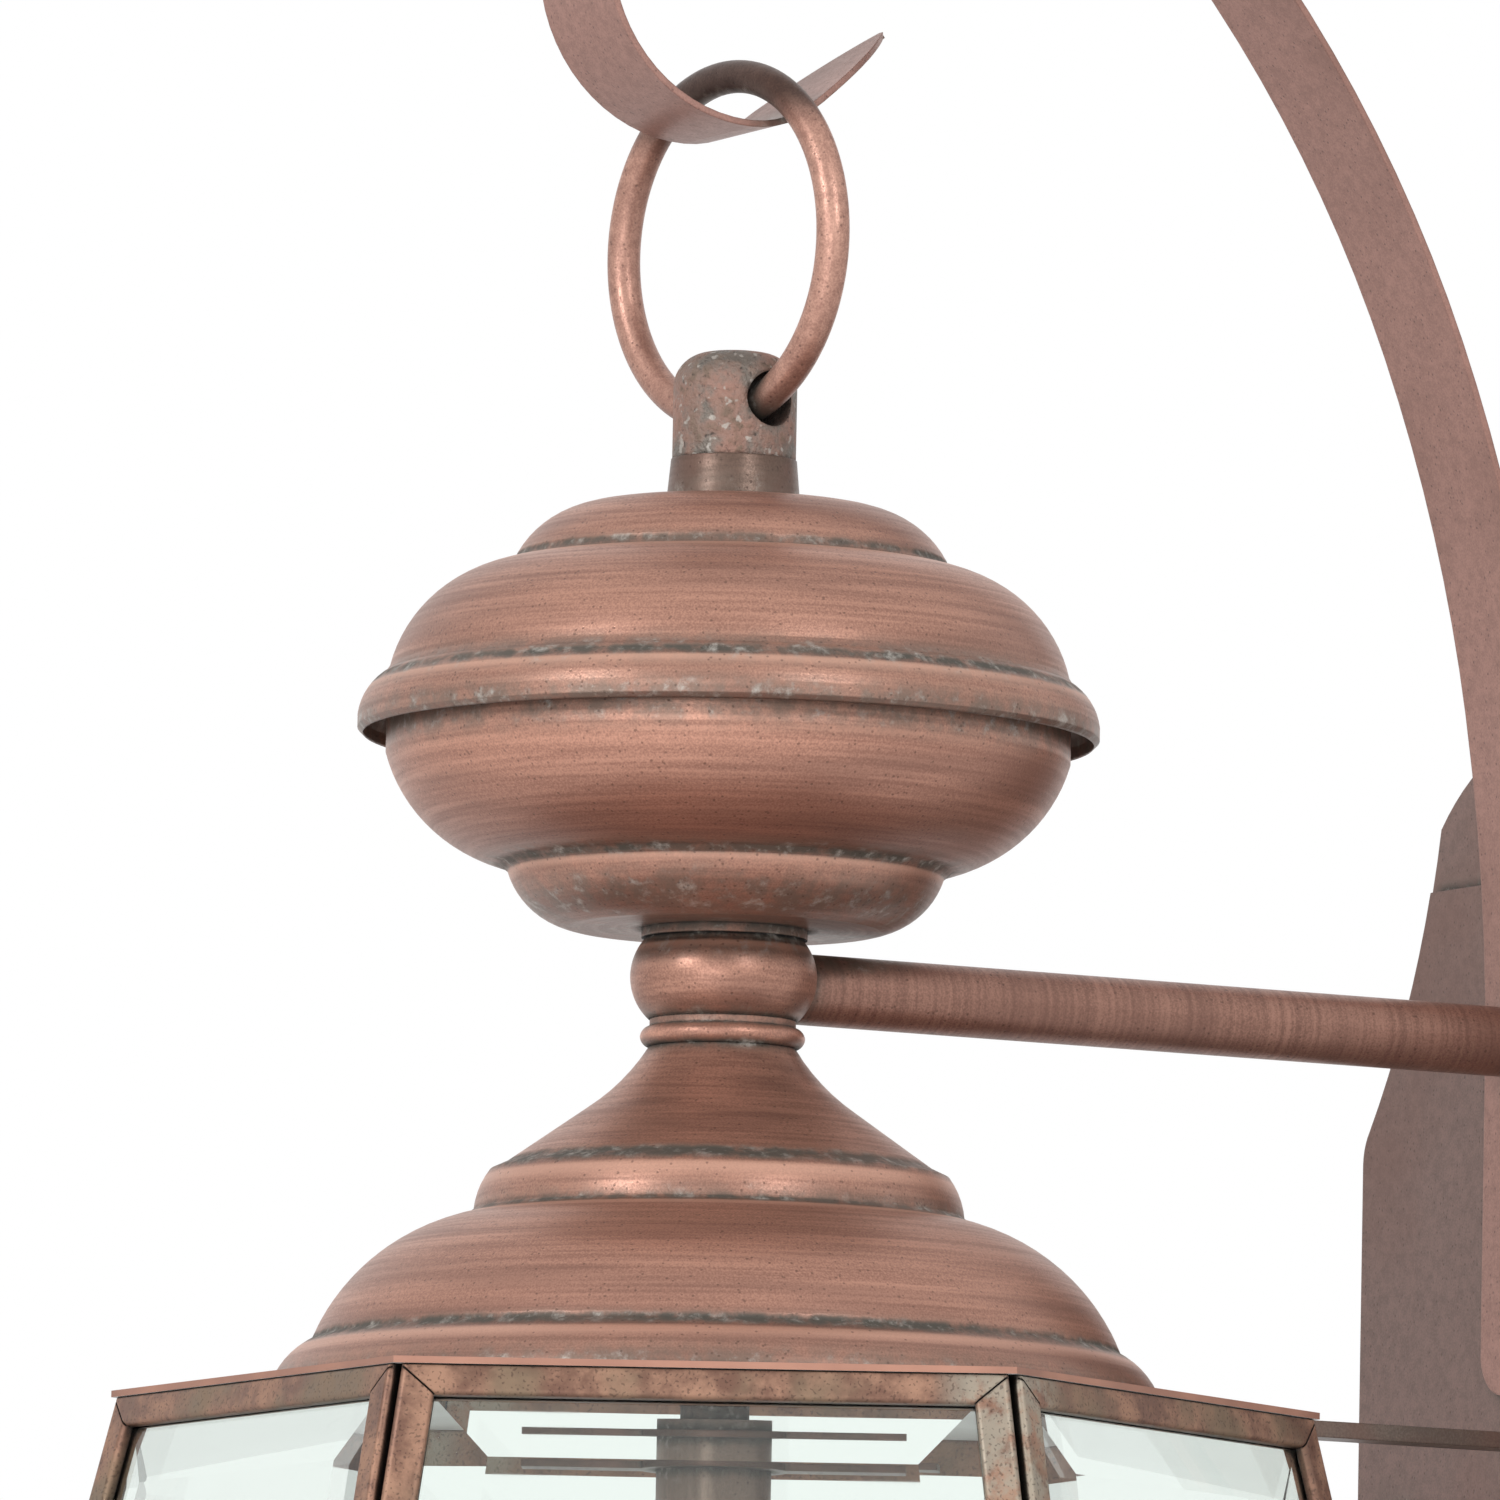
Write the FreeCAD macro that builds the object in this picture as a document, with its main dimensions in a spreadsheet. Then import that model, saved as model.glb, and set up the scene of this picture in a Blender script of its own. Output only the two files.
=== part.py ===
import FreeCAD, Part
import math
import os
import re
import Sketcher
from FreeCAD import Placement, Rotation, Vector

# Wall lantern: a six-sided cage under a spun roof and vent ball, carried by an arm and a crook strap.
# Millimetres, +Z up. The wall is the plane Y = 0 and the lantern stands out towards -Y.
# The origin is the centre of the crossbar's back face, on the wall.
# Lantern pieces are drawn about the point where the arm's axis meets the lantern's axis.

SIDES = 6
HALF_SIDE = "%d" % (180 // SIDES)
FULL_TURN = 360

SIZES = {
    # Where the lantern stands: its axis from the wall, its arm above the plate's centre.
    "axis_reach": 192,
    "arm_height": 90,
    "fit_gap": 0.1,
    # Wall plate
    "plate_depth": 20,
    "plate_wall": 1.5,
    "plate_half_width": 62.4,
    "plate_corner_height": 71.5,
    "plate_corner_radius": 10,
    "plate_flare_half_width": 60.2,
    "plate_flare_height": 77.6,
    "plate_flare_radius": 145,
    "plate_crown_half_width": 36.6,
    "plate_crown_height": 133,
    "plate_crown_radius": 49,
    "plate_bevel": 1.6,
    "panel_raise": 2,
    "panel_inset": 4.2,
    "panel_ledge_height": 121,
    "panel_ledge_half_width": 35.3,
    # Crossbar, studs and ball nuts
    "bar_length": 108,
    "bar_width": 16,
    "bar_thickness": 2,
    "wall_screw_spacing": 70,
    "wall_slot_length": 9,
    "wall_slot_width": 4.5,
    "stud_spacing": 89,
    "stud_radius": 2.4,
    "stud_proud": 5,
    "nut_ball_radius": 6,
    "nut_foot_radius": 5,
    "nut_foot_height": 1.5,
    "nut_height": 10,
    # Arm
    "arm_radius": 6.45,
    "arm_wall": 1.2,
    "arm_seat": 9,
    "arm_end_gap": 0.3,
    "nipple_wall": 1.4,
    "nipple_in_arm": 14,
    "nipple_behind_plate": 8,
    "locknut_radius": 9.5,
    "locknut_thickness": 4,
    # Crook strap
    "strap_width": 26,
    "strap_thickness": 1.2,
    "strap_foot": -65,
    "rise_radius_1": 390,
    "rise_turn_1": 9.5,
    "rise_radius_2": 300,
    "rise_turn_2": 13,
    "rise_radius_3": 247,
    "rise_turn_3": 32.5,
    "bow_turn": 125,
    "hook_drop": 1.9,
    "hook_radius": 30,
    "hook_turn": 90,
    "spear_radius": 20,
    "spear_turn": 37.8,
    "spear_run": 27.2,
    "hook_width": 25.5,
    "hook_forward": 4.6,
    "hook_clearance": 3.9,
    "taper_start": 112,
    "spear_length": 19,
    "spear_edge_radius": 32,
    "spear_point": 0.4,
    "foot_radius": 8,
    # Stay
    "stay_width": 8,
    "stay_thickness": 3,
    "stay_lap": 11,
    # Ring, finial and collar
    "ring_radius": 30.8,
    "ring_wire_radius": 3,
    "ring_turn": 9,
    "ring_lean": 1.3,
    "ring_roll": 4.2,
    "eye_height": 103.7,
    "eye_radius": 5.05,
    "eye_lift": 1.65,
    "finial_top": 114.5,
    "finial_flat_radius": 5.5,
    "finial_round_height": 109,
    "finial_round_radius": 6.5,
    "finial_shoulder_radius": 11.2,
    "finial_foot_radius": 11.2,
    "finial_thread_depth": 5,
    "collar_top": 95,
    "collar_top_radius": 11.4,
    "collar_foot_radius": 12.2,
    # Vent ball, upper half
    "ball_wall": 1,
    "cap_top": 86.4,
    "cap_flat_radius": 24,
    "cap_edge_radius": 38.8,
    "cap_edge_height": 77.2,
    "cap_round": 18,
    "dome_neck_radius": 39.6,
    "dome_neck_height": 75.4,
    "dome_round": 25.2,
    "dome_edge_radius": 61.4,
    "dome_edge_height": 56,
    "band_shoulder_radius": 62.2,
    "band_shoulder_height": 54.8,
    "band_round": 10,
    "band_radius": 67,
    "band_turn_height": 47.5,
    "band_foot": 44.1,
    # Vent ball, lower half
    "bowl_rim_gap": 0.6,
    "bowl_edge_radius": 61.8,
    "bowl_edge_height": 40.7,
    "bowl_round": 28.2,
    "bowl_neck_radius": 40.9,
    "bowl_neck_height": 20.9,
    "cup_edge_radius": 39.4,
    "cup_edge_height": 19.7,
    "cup_round": 14.5,
    "cup_flat_radius": 28.4,
    "cup_foot": 9.7,
    # Hub and its rings
    "hub_top": 8,
    "hub_top_radius": 14.2,
    "hub_foot": -6.7,
    "hub_foot_radius": 13.4,
    "hub_round": 10.4,
    "washer_radius": 15,
    "bead_radius": 14.9,
    "bead_neck_radius": 13.2,
    "bead_top": -8,
    "bead_round": 2.1,
    "bead_foot": -11.8,
    # Rod and nut on the lantern's axis
    "rod_radius": 4.8,
    "rod_wall": 1.4,
    "rod_foot": -70,
    "roof_nut_radius": 8.5,
    "roof_nut_thickness": 5,
    # Roof
    "roof_wall": 1,
    "neck_radius": 13.3,
    "neck_round": 38,
    "neck_waist_radius": 24.3,
    "neck_waist_height": -23.2,
    "neck_foot_radius": 38.6,
    "neck_foot_height": -33.3,
    "ridge_top_radius": 41.4,
    "ridge_top_height": -34.6,
    "ridge_round": 14,
    "ridge_foot_radius": 44.2,
    "ridge_foot_height": -41.9,
    "bell_top_radius": 45.4,
    "bell_top_height": -42.8,
    "bell_round": 38.5,
    "bell_foot_radius": 72.8,
    "bell_foot_height": -66,
    "rim_top_radius": 74.2,
    "rim_top_height": -66.8,
    "rim_radius": 80.4,
    "rim_round": 14,
    # Cage
    "cage_top": -76.7,
    "cage_height": 167,
    "cage_top_radius": 108.5,
    "cage_bottom_radius": 150,
    "top_plate_thickness": 1.2,
    "top_plate_overhang": 0.1,
    "came_thickness": 5.8,
    "came_seam": 1.8,
    "came_rail": 5.5,
    "came_stile": 7.8,
    "came_lip": 2,
    "came_round": 1,
    "mitre_gap": 0.5,
    "mitre_depth": 0.8,
    "mitre_overrun": 0.6,
    "glass_slot_width": 2.4,
    "glass_slot_depth": 3,
    "glass_edge_gap": 0.2,
    "bevel_width": 11,
    "bevel_rise": 1.3,
    "foot_rim_thickness": 3,
    "foot_rim_width": 9,
    "foot_rim_overhang": 1.5,
    # Socket column
    "stem_radius": 10.35,
    "stem_top": -66,
    "stem_foot": -82.2,
    "stem_neck_radius": 6.2,
    "socket_top": -85,
    "socket_foot": -150,
    "socket_bore_radius": 6.3,
    "socket_bore_depth": 24,
    "screw_radius": 2.4,
    "screw_height": -79.2,
    "screw_length": 3,
    "lamp_bar_length": 69,
    "lamp_bar_width": 8,
    "lamp_bar_thickness": 1.3,
    "lamp_bar_eye_radius": 13.5,
    "lamp_bar_height": -88.3,
    "lamp_bar_turn": 60,
}

doc = FreeCAD.newDocument("WallLantern")
sheet = doc.addObject("Spreadsheet::Sheet", "Sizes")
for row, (alias, number) in enumerate(SIZES.items(), start=1):
    sheet.set("A%d" % row, str(number))
    sheet.setAlias("A%d" % row, alias)
doc.recompute()

subparts = []


def bound(text):
    """Turn plain size names into references to the sheet's cells."""
    return re.sub(r"[a-z][a-z_0-9]*", lambda m: cell_name(m.group()), text)


def cell_name(word):
    return "Sizes." + word if word in SIZES else word


def value(text):
    """Work out an expression over the named sizes as a number."""
    return float(sheet.evalExpression(bound(text)))


def tie(thing, **links):
    """Bind properties of an object to expressions over the named sizes."""
    for name, text in links.items():
        thing.setExpression(name, bound(text))


def keep(thing, label):
    """Name a finished sub-part."""
    thing.Label = label
    subparts.append(thing)
    return thing


def on_lantern(thing, height="0", turn="0"):
    """Stand a piece on the lantern's axis, at a height over the arm's axis."""
    thing.setExpression("Placement.Base.y", bound("-axis_reach"))
    thing.setExpression("Placement.Base.z", bound("arm_height + " + height))
    thing.Placement = Placement(Vector(), Rotation(Vector(0, 0, 1), value(turn)))
    return thing


def new_body(name):
    return doc.addObject("PartDesign::Body", name)


def new_sketch(body, role, offset="0"):
    """Sketch on one of the body's own planes, moved along the plane's normal."""
    plane = [feature for feature in body.Origin.OriginFeatures if feature.Role == role][0]
    sketch = body.newObject("Sketcher::SketchObject", body.Name + "Sketch")
    sketch.AttachmentSupport = [(plane, "")]
    sketch.MapMode = "FlatFace"
    sketch.setExpression("AttachmentOffset.Base.z", bound(offset))
    return sketch


def hold(sketch, constraint, text):
    """Add a dimension and bind it to an expression."""
    index = sketch.addConstraint(constraint)
    sketch.setExpression("Constraints[%d]" % index, bound(text))


def arc_edge(start, end, radius, turn):
    """The short arc from start to end that turns left or right."""
    chord = end - start
    side = Vector(-chord.y, chord.x, 0).normalize()
    rise = math.sqrt(max(radius ** 2 - (chord.Length / 2) ** 2, 0))
    centre = (start + end) / 2 + side * (rise if turn == "left" else -rise)
    first, last = (start, end) if turn == "left" else (end, start)
    begin = math.atan2(first.y - centre.y, first.x - centre.x)
    finish = math.atan2(last.y - centre.y, last.x - centre.x)
    if finish < begin:
        finish += 2 * math.pi
    return Part.ArcOfCircle(Part.Circle(centre, Vector(0, 0, 1), radius), begin, finish)


def draw_loop(sketch, loop):
    """Draw a closed outline.

    Each vertex is (x, y) where a line leads to it, or (x, y, radius, turn) where an arc does.
    """
    points = [Vector(value(vertex[0]), value(vertex[1]), 0) for vertex in loop]
    ends = []
    for index, vertex in enumerate(loop):
        start, end = points[index - 1], points[index]
        if len(vertex) == 2:
            edge = sketch.addGeometry(Part.LineSegment(start, end))
            ends.append((edge, 1, 2))
        else:
            edge = sketch.addGeometry(arc_edge(start, end, value(vertex[2]), vertex[3]))
            ends.append((edge, 1, 2) if vertex[3] == "left" else (edge, 2, 1))
    for index, vertex in enumerate(loop):
        edge, _, tail = ends[index]
        follower, head, _ = ends[(index + 1) % len(loop)]
        sketch.addConstraint(Sketcher.Constraint("Coincident", edge, tail, follower, head))
        hold(sketch, Sketcher.Constraint("DistanceX", edge, tail, points[index].x), vertex[0])
        hold(sketch, Sketcher.Constraint("DistanceY", edge, tail, points[index].y), vertex[1])
        if len(vertex) > 2:
            hold(sketch, Sketcher.Constraint("Radius", edge, value(vertex[2])), vertex[2])


def draw_circle(sketch, x, y, radius):
    centre = Vector(value(x), value(y), 0)
    edge = sketch.addGeometry(Part.Circle(centre, Vector(0, 0, 1), value(radius)))
    hold(sketch, Sketcher.Constraint("DistanceX", edge, 3, centre.x), x)
    hold(sketch, Sketcher.Constraint("DistanceY", edge, 3, centre.y), y)
    hold(sketch, Sketcher.Constraint("Radius", edge, value(radius)), radius)


def pad(body, sketch, length, symmetric=False, reverse=False):
    feature = body.newObject("PartDesign::Pad", body.Name + "Pad")
    feature.Profile = sketch
    feature.SideType = "Symmetric" if symmetric else "One side"
    feature.Reversed = reverse
    tie(feature, Length=length)
    doc.recompute()
    return feature


def pocket(body, sketch, length, symmetric=False, reverse=False):
    """Cut a prism of the sketch away, and make sure that it took material."""
    before = body.Shape.Volume
    feature = body.newObject("PartDesign::Pocket", body.Name + "Pocket")
    feature.Profile = sketch
    feature.Type = "Length"
    feature.SideType = "Symmetric" if symmetric else "One side"
    feature.Reversed = reverse
    tie(feature, Length=length)
    doc.recompute()
    if body.Shape.Volume >= before:
        raise RuntimeError("a cut in %s took nothing" % body.Name)
    return feature


def loft(body, first, last):
    feature = body.newObject("PartDesign::AdditiveLoft", body.Name + "Loft")
    feature.Profile = first
    feature.Sections = [last]
    feature.Ruled = True
    doc.recompute()
    return feature


def spun(label, loop):
    """A turned or spun piece: its profile, radius then height, revolved about the axis."""
    body = new_body(label)
    sketch = new_sketch(body, "XZ_Plane")
    draw_loop(sketch, loop)
    turned = body.newObject("PartDesign::Revolution", label + "Turned")
    turned.Profile = sketch
    turned.ReferenceAxis = (sketch, ["V_Axis"])
    turned.Angle = FULL_TURN
    doc.recompute()
    return keep(body, label)


def shell_loop(outside, wall, lift):
    """Close a sheet profile: the outside curve and the same curve set in by the wall."""
    inside = []
    for vertex, arrival in zip(reversed(outside), [None] + list(reversed(outside))[:-1]):
        place = ("%s - %s" % (vertex[0], wall), "%s %s %s" % (vertex[1], lift, wall))
        if arrival is not None and len(arrival) > 2:
            place += (arrival[2], "left" if arrival[3] == "right" else "right")
        inside.append(place)
    return outside + inside


def tube(label, radius, inner_radius, length):
    """A plain round tube along its own Z axis."""
    outer = doc.addObject("Part::Cylinder", label + "Outer")
    tie(outer, Radius=radius, Height=length)
    inner = doc.addObject("Part::Cylinder", label + "Bore")
    tie(inner, Radius=inner_radius, Height=length)
    cut = doc.addObject("Part::Cut", label)
    cut.Base = outer
    cut.Tool = inner
    return keep(cut, label)


def hex_nut(label, radius, bore, thickness):
    """A six-sided nut along its own Z axis."""
    block = doc.addObject("Part::Prism", label + "Block")
    block.Polygon = SIDES
    tie(block, Circumradius=radius, Height=thickness)
    hole = doc.addObject("Part::Cylinder", label + "Hole")
    tie(hole, Radius=bore, Height=thickness)
    cut = doc.addObject("Part::Cut", label)
    cut.Base = block
    cut.Tool = hole
    return keep(cut, label)


def along_y(thing, x, y, z):
    """Lay a piece that was made along Z on its side, so that it runs towards the wall."""
    thing.Placement = Placement(Vector(), Rotation(Vector(1, 0, 0), -90))
    thing.setExpression("Placement.Base.x", bound(x))
    thing.setExpression("Placement.Base.y", bound(y))
    thing.setExpression("Placement.Base.z", bound(z))
    return thing


PLATE_FRONT = "(plate_depth + panel_raise)"
NIPPLE_RADIUS = "(arm_radius - arm_wall - fit_gap)"
ROD_BORE = "(rod_radius + fit_gap)"
SHEET_TOP = "(cage_top + top_plate_thickness)"
STRAP_LINE = "(axis_reach - %s - strap_thickness / 2)" % PLATE_FRONT
RING_INSIDE = "sqrt((ring_radius - ring_wire_radius)^2 - (hook_width / 2)^2)"
HOOK_SEAT = "(eye_height + ring_radius + %s - strap_thickness / 2 - hook_clearance)" % RING_INSIDE


def plate_outline(inset):
    """The plate's outline, set in all round by a wall or a margin."""
    flare = ("plate_flare_radius + %s" % inset, "left")
    corner = ("plate_corner_radius - %s" % inset, "right")
    quarter = [
        ("plate_crown_half_width - %s" % inset, "plate_crown_height"),
        ("plate_flare_half_width - %s" % inset, "plate_flare_height") + flare,
        ("plate_half_width - %s" % inset, "plate_corner_height") + corner,
    ]
    return four_quarters(quarter, ("plate_crown_radius - %s" % inset, "right"))


def four_quarters(quarter, crown_arc):
    """Join four mirrored copies of a quarter outline into one clockwise loop."""
    loop = []
    signs = [("", ""), ("", "-"), ("-", "-"), ("-", "")]
    for number, (x_sign, z_sign) in enumerate(signs):
        outward = number % 2 == 0
        order = quarter if outward else list(reversed(quarter))
        for index, vertex in enumerate(order):
            place = ("%s(%s)" % (x_sign, vertex[0]), "%s(%s)" % (z_sign, vertex[1]))
            if outward and index > 0:
                place += tuple(vertex[2:])
            if outward and index == 0 and crown_arc:
                place += crown_arc
            if not outward and index > 0:
                place += tuple(order[index - 1][2:])
            loop.append(place)
    return loop


def make_backplate():
    body = new_body("backplate")
    base = new_sketch(body, "XZ_Plane")
    draw_loop(base, plate_outline("0"))
    pad(body, base, "plate_depth - plate_bevel")
    edge = new_sketch(body, "XZ_Plane", "plate_depth - plate_bevel")
    draw_loop(edge, plate_outline("0"))
    face = new_sketch(body, "XZ_Plane", "plate_depth")
    draw_loop(face, plate_outline("plate_bevel"))
    loft(body, edge, face)
    raised = new_sketch(body, "XZ_Plane", "plate_depth")
    draw_loop(raised, panel_outline("panel_inset"))
    pad(body, raised, "panel_raise")
    hollow = new_sketch(body, "XZ_Plane")
    draw_loop(hollow, plate_outline("plate_wall"))
    pocket(body, hollow, "plate_depth - plate_wall", reverse=True)
    back = new_sketch(body, "XZ_Plane")
    draw_loop(back, panel_outline("(panel_inset + plate_wall)"))
    pocket(body, back, "plate_depth + panel_raise - plate_wall", reverse=True)
    holes = new_sketch(body, "XZ_Plane")
    draw_circle(holes, "0", "arm_height", NIPPLE_RADIUS + " + fit_gap")
    for side in ("", "-"):
        draw_circle(holes, side + "stud_spacing / 2", "0", "stud_radius + fit_gap")
    pocket(body, holes, "2 * " + PLATE_FRONT, reverse=True)
    return keep(body, "backplate")


def panel_outline(inset):
    """The raised panel: the plate's outline set in, cut level at the ledge."""
    rise = "(%s - panel_inset)" % inset
    quarter = [
        ("panel_ledge_half_width - %s" % rise, "panel_ledge_height - %s" % rise),
        ("plate_flare_half_width - %s" % inset, "plate_flare_height", "plate_flare_radius", "left"),
        ("plate_half_width - %s" % inset, "plate_corner_height", "plate_corner_radius", "right"),
    ]
    return four_quarters(quarter, None)


def make_crossbar():
    body = new_body("mounting_crossbar")
    outline = new_sketch(body, "XZ_Plane")
    draw_loop(outline, rectangle("bar_length", "bar_width"))
    pad(body, outline, "bar_thickness")
    holes = new_sketch(body, "XZ_Plane")
    for side in ("", "-"):
        draw_circle(holes, side + "stud_spacing / 2", "0", "stud_radius + fit_gap")
        draw_loop(holes, slot(side + "wall_screw_spacing / 2"))
    pocket(body, holes, "2 * bar_thickness", reverse=True)
    return keep(body, "mounting_crossbar")


def rectangle(width, height):
    corners = [("", ""), ("", "-"), ("-", "-"), ("-", "")]
    return [("%s(%s) / 2" % (x, width), "%s(%s) / 2" % (y, height)) for x, y in corners]


def slot(middle):
    """A round-ended slot along X."""
    end = "wall_slot_width / 2"
    reach = "(wall_slot_length / 2 - %s)" % end
    quarter_arc = (end, "right")
    return [
        ("%s + %s" % (middle, reach), end),
        ("%s + wall_slot_length / 2" % middle, "0") + quarter_arc,
        ("%s + %s" % (middle, reach), "-" + end) + quarter_arc,
        ("%s - %s" % (middle, reach), "-" + end),
        ("%s - wall_slot_length / 2" % middle, "0") + quarter_arc,
        ("%s - %s" % (middle, reach), end) + quarter_arc,
    ]


def group(label, members):
    """Like fasteners kept together as separate solids of one sub-part."""
    bundle = doc.addObject("Part::Compound", label)
    bundle.Links = members
    return keep(bundle, label)


def make_studs():
    studs = []
    for number, side in enumerate(("", "-"), start=1):
        stud = doc.addObject("Part::Cylinder", "stud_%d" % number)
        tie(stud, Radius="stud_radius", Height=PLATE_FRONT + " + stud_proud")
        along_y(stud, side + "stud_spacing / 2", "-%s - stud_proud" % PLATE_FRONT, "0")
        studs.append(stud)
    return group("mounting_studs", studs)


def make_cap_nuts():
    """Ball nuts with a narrow foot, bored blind from the foot."""
    nuts = []
    bore = "stud_radius + fit_gap"
    depth = "stud_proud + fit_gap"
    for number, side in enumerate(("", "-"), start=1):
        body = new_body("cap_nut_%d" % number)
        sketch = new_sketch(body, "XZ_Plane")
        draw_loop(sketch, [
            (bore, "0"),
            ("nut_foot_radius", "0"),
            ("nut_foot_radius", "nut_foot_height"),
            ("nut_ball_radius", "nut_height - nut_ball_radius", "nut_ball_radius", "left"),
            ("0", "nut_height", "nut_ball_radius", "left"),
            ("0", depth),
            (bore, depth),
        ])
        turned = body.newObject("PartDesign::Revolution", body.Name + "Turned")
        turned.Profile = sketch
        turned.ReferenceAxis = (sketch, ["V_Axis"])
        turned.Angle = FULL_TURN
        body.Placement = Placement(Vector(), Rotation(Vector(1, 0, 0), 90))
        body.setExpression("Placement.Base.x", bound(side + "stud_spacing / 2"))
        body.setExpression("Placement.Base.y", bound("-" + PLATE_FRONT))
        nuts.append(body)
    return group("cap_nuts", nuts)


def make_arm():
    reach = "axis_reach - %s - strap_thickness - arm_end_gap" % PLATE_FRONT
    arm = tube("arm_tube", "arm_radius", "arm_radius - arm_wall", reach + " - arm_seat")
    along_y(arm, "0", "-axis_reach + arm_seat", "arm_height")
    through = "nipple_in_arm + strap_thickness + plate_wall + nipple_behind_plate"
    nipple = tube("arm_nipple", NIPPLE_RADIUS, NIPPLE_RADIUS + " - nipple_wall", through)
    along_y(nipple, "0", "-%s - strap_thickness - nipple_in_arm" % PLATE_FRONT, "arm_height")
    nut = hex_nut("arm_locknut", "locknut_radius", NIPPLE_RADIUS + " + fit_gap", "locknut_thickness")
    along_y(nut, "0", "-%s + plate_wall" % PLATE_FRONT, "arm_height")


def strap_bends():
    """Each bend of the strap: its radius and the turn before and after it.

    The bow's radius is worked out so that it brings the hook over the ring.
    """
    names = [
        ("rise_radius_1", "rise_turn_1"),
        ("rise_radius_2", "rise_turn_2"),
        ("rise_radius_3", "rise_turn_3"),
        ("bow", "bow_turn"),
        ("hook_radius", "hook_turn"),
        ("spear_radius", "spear_turn"),
    ]
    turned = "0"
    bends = {}
    for radius, turn in names:
        heading = "%s + %s" % (turned, turn)
        bends[radius] = (turned, heading)
        turned = heading
    reach = STRAP_LINE + " + hook_forward"
    for radius, (before, after) in bends.items():
        if radius not in ("bow", "spear_radius"):
            reach += " - %s * (cos(%s) - cos(%s))" % (radius, before, after)
    before, after = bends["bow"]
    bow_radius = "((%s - hook_drop * sin(%s)) / (cos(%s) - cos(%s)))" % (reach, after, before, after)
    return [(bow_radius if radius == "bow" else radius,) + turns for radius, turns in bends.items()]


def strap_stations():
    """Points of the strap's middle line with the turn so far: from the plate, over the bow, to the spear.

    A straight run follows the bow and another ends the spear.
    """
    bends = strap_bends()
    runs = ["0", "0", "0", "hook_drop", "0", "spear_run"]
    climbs = []
    for run, (radius, before, after) in zip(runs[:-1], bends):
        climbs.append("%s * (sin(%s) - sin(%s)) + %s * cos(%s)" % (radius, after, before, run, after))
    y, z = STRAP_LINE, "(%s - (%s))" % (HOOK_SEAT, " + ".join(climbs))
    stations = [(y, z, "0", None)]
    for run, (radius, before, after) in zip(runs, bends):
        y = "%s - %s * (cos(%s) - cos(%s))" % (y, radius, before, after)
        z = "%s + %s * (sin(%s) - sin(%s))" % (z, radius, after, before)
        stations.append((y, z, after, radius))
        if run != "0":
            y = "%s - %s * sin(%s)" % (y, run, after)
            z = "%s + %s * cos(%s)" % (z, run, after)
            stations.append((y, z, after, None))
    return stations


def make_crook_strap():
    body = new_body("crook_strap")
    side_view = new_sketch(body, "YZ_Plane")
    half = "strap_thickness / 2"
    outer = [("%s + %s" % (STRAP_LINE, half), "strap_foot")]
    inner = []
    for y, z, turned, radius in strap_stations():
        over = ("%s + %s * cos(%s)" % (y, half, turned), "%s + %s * sin(%s)" % (z, half, turned))
        under = ("%s - %s * cos(%s)" % (y, half, turned), "%s - %s * sin(%s)" % (z, half, turned))
        outer.append(over + (("%s + %s" % (radius, half), "left") if radius else ()))
        inner.append((under, radius))
    back = []
    arrival = None
    for under, radius in reversed(inner):
        back.append(under + (("%s - %s" % (arrival, half), "right") if arrival else ()))
        arrival = radius
    back.append(("%s - %s" % (STRAP_LINE, half), "strap_foot"))
    draw_loop(side_view, outer + back)
    pad(body, side_view, "strap_width", symmetric=True)
    taper = new_sketch(body, "XY_Plane")
    front = "-hook_radius - strap_width"
    for side in ("", "-"):
        draw_loop(taper, [
            (side + "strap_width / 2", "taper_start"),
            (side + "strap_width", "taper_start"),
            (side + "strap_width", front),
            (side + "hook_width / 2", front),
            (side + "hook_width / 2", "-hook_radius"),
        ])
    pocket(body, taper, "4 * axis_reach", symmetric=True)
    tip_y, tip_z, _, _ = strap_stations()[-1]
    spear = new_sketch(body, "XY_Plane", "%s - hook_radius" % tip_z)
    beyond = "%s + strap_thickness" % tip_y
    for side, turn in (("", "left"), ("-", "right")):
        draw_loop(spear, [
            (side + "hook_width / 2", "%s - spear_length" % tip_y),
            (side + "spear_point / 2", tip_y, "spear_edge_radius", turn),
            (side + "spear_point / 2", beyond),
            (side + "strap_width", beyond),
            (side + "strap_width", "%s - spear_length" % tip_y),
        ])
    pocket(body, spear, "2 * hook_radius", reverse=True)
    hole = new_sketch(body, "XZ_Plane")
    draw_circle(hole, "0", "0", NIPPLE_RADIUS + " + fit_gap")
    drilled = pocket(body, hole, "4 * axis_reach", symmetric=True)
    rounded = body.newObject("PartDesign::Fillet", "strap_foot_round")
    rounded.Base = (drilled, foot_corners(drilled.Shape))
    tie(rounded, Radius="foot_radius")
    return keep(on_lantern(body), "crook_strap")


def foot_corners(shape):
    """The two short edges at the strap's lower end."""
    corners = []
    for number, edge in enumerate(shape.Edges, start=1):
        low = all(abs(vertex.Point.z - value("strap_foot")) < value("fit_gap") for vertex in edge.Vertexes)
        if low and abs(edge.Vertexes[0].Point.x - edge.Vertexes[-1].Point.x) < value("fit_gap"):
            corners.append("Edge%d" % number)
    return corners


def make_stay():
    stay = doc.addObject("Part::Box", "stay_bar")
    start = "cage_top_radius * cos(%s) - stay_lap" % HALF_SIDE
    reach = "axis_reach - %s - (%s)" % (PLATE_FRONT, start)
    tie(stay, Width=reach, Length="stay_width", Height="stay_thickness")
    stay.setExpression("Placement.Base.x", bound("-stay_width / 2"))
    stay.setExpression("Placement.Base.y", bound("-axis_reach + " + start))
    stay.setExpression("Placement.Base.z", bound("arm_height + " + SHEET_TOP))
    return keep(stay, "stay_bar")


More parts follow.
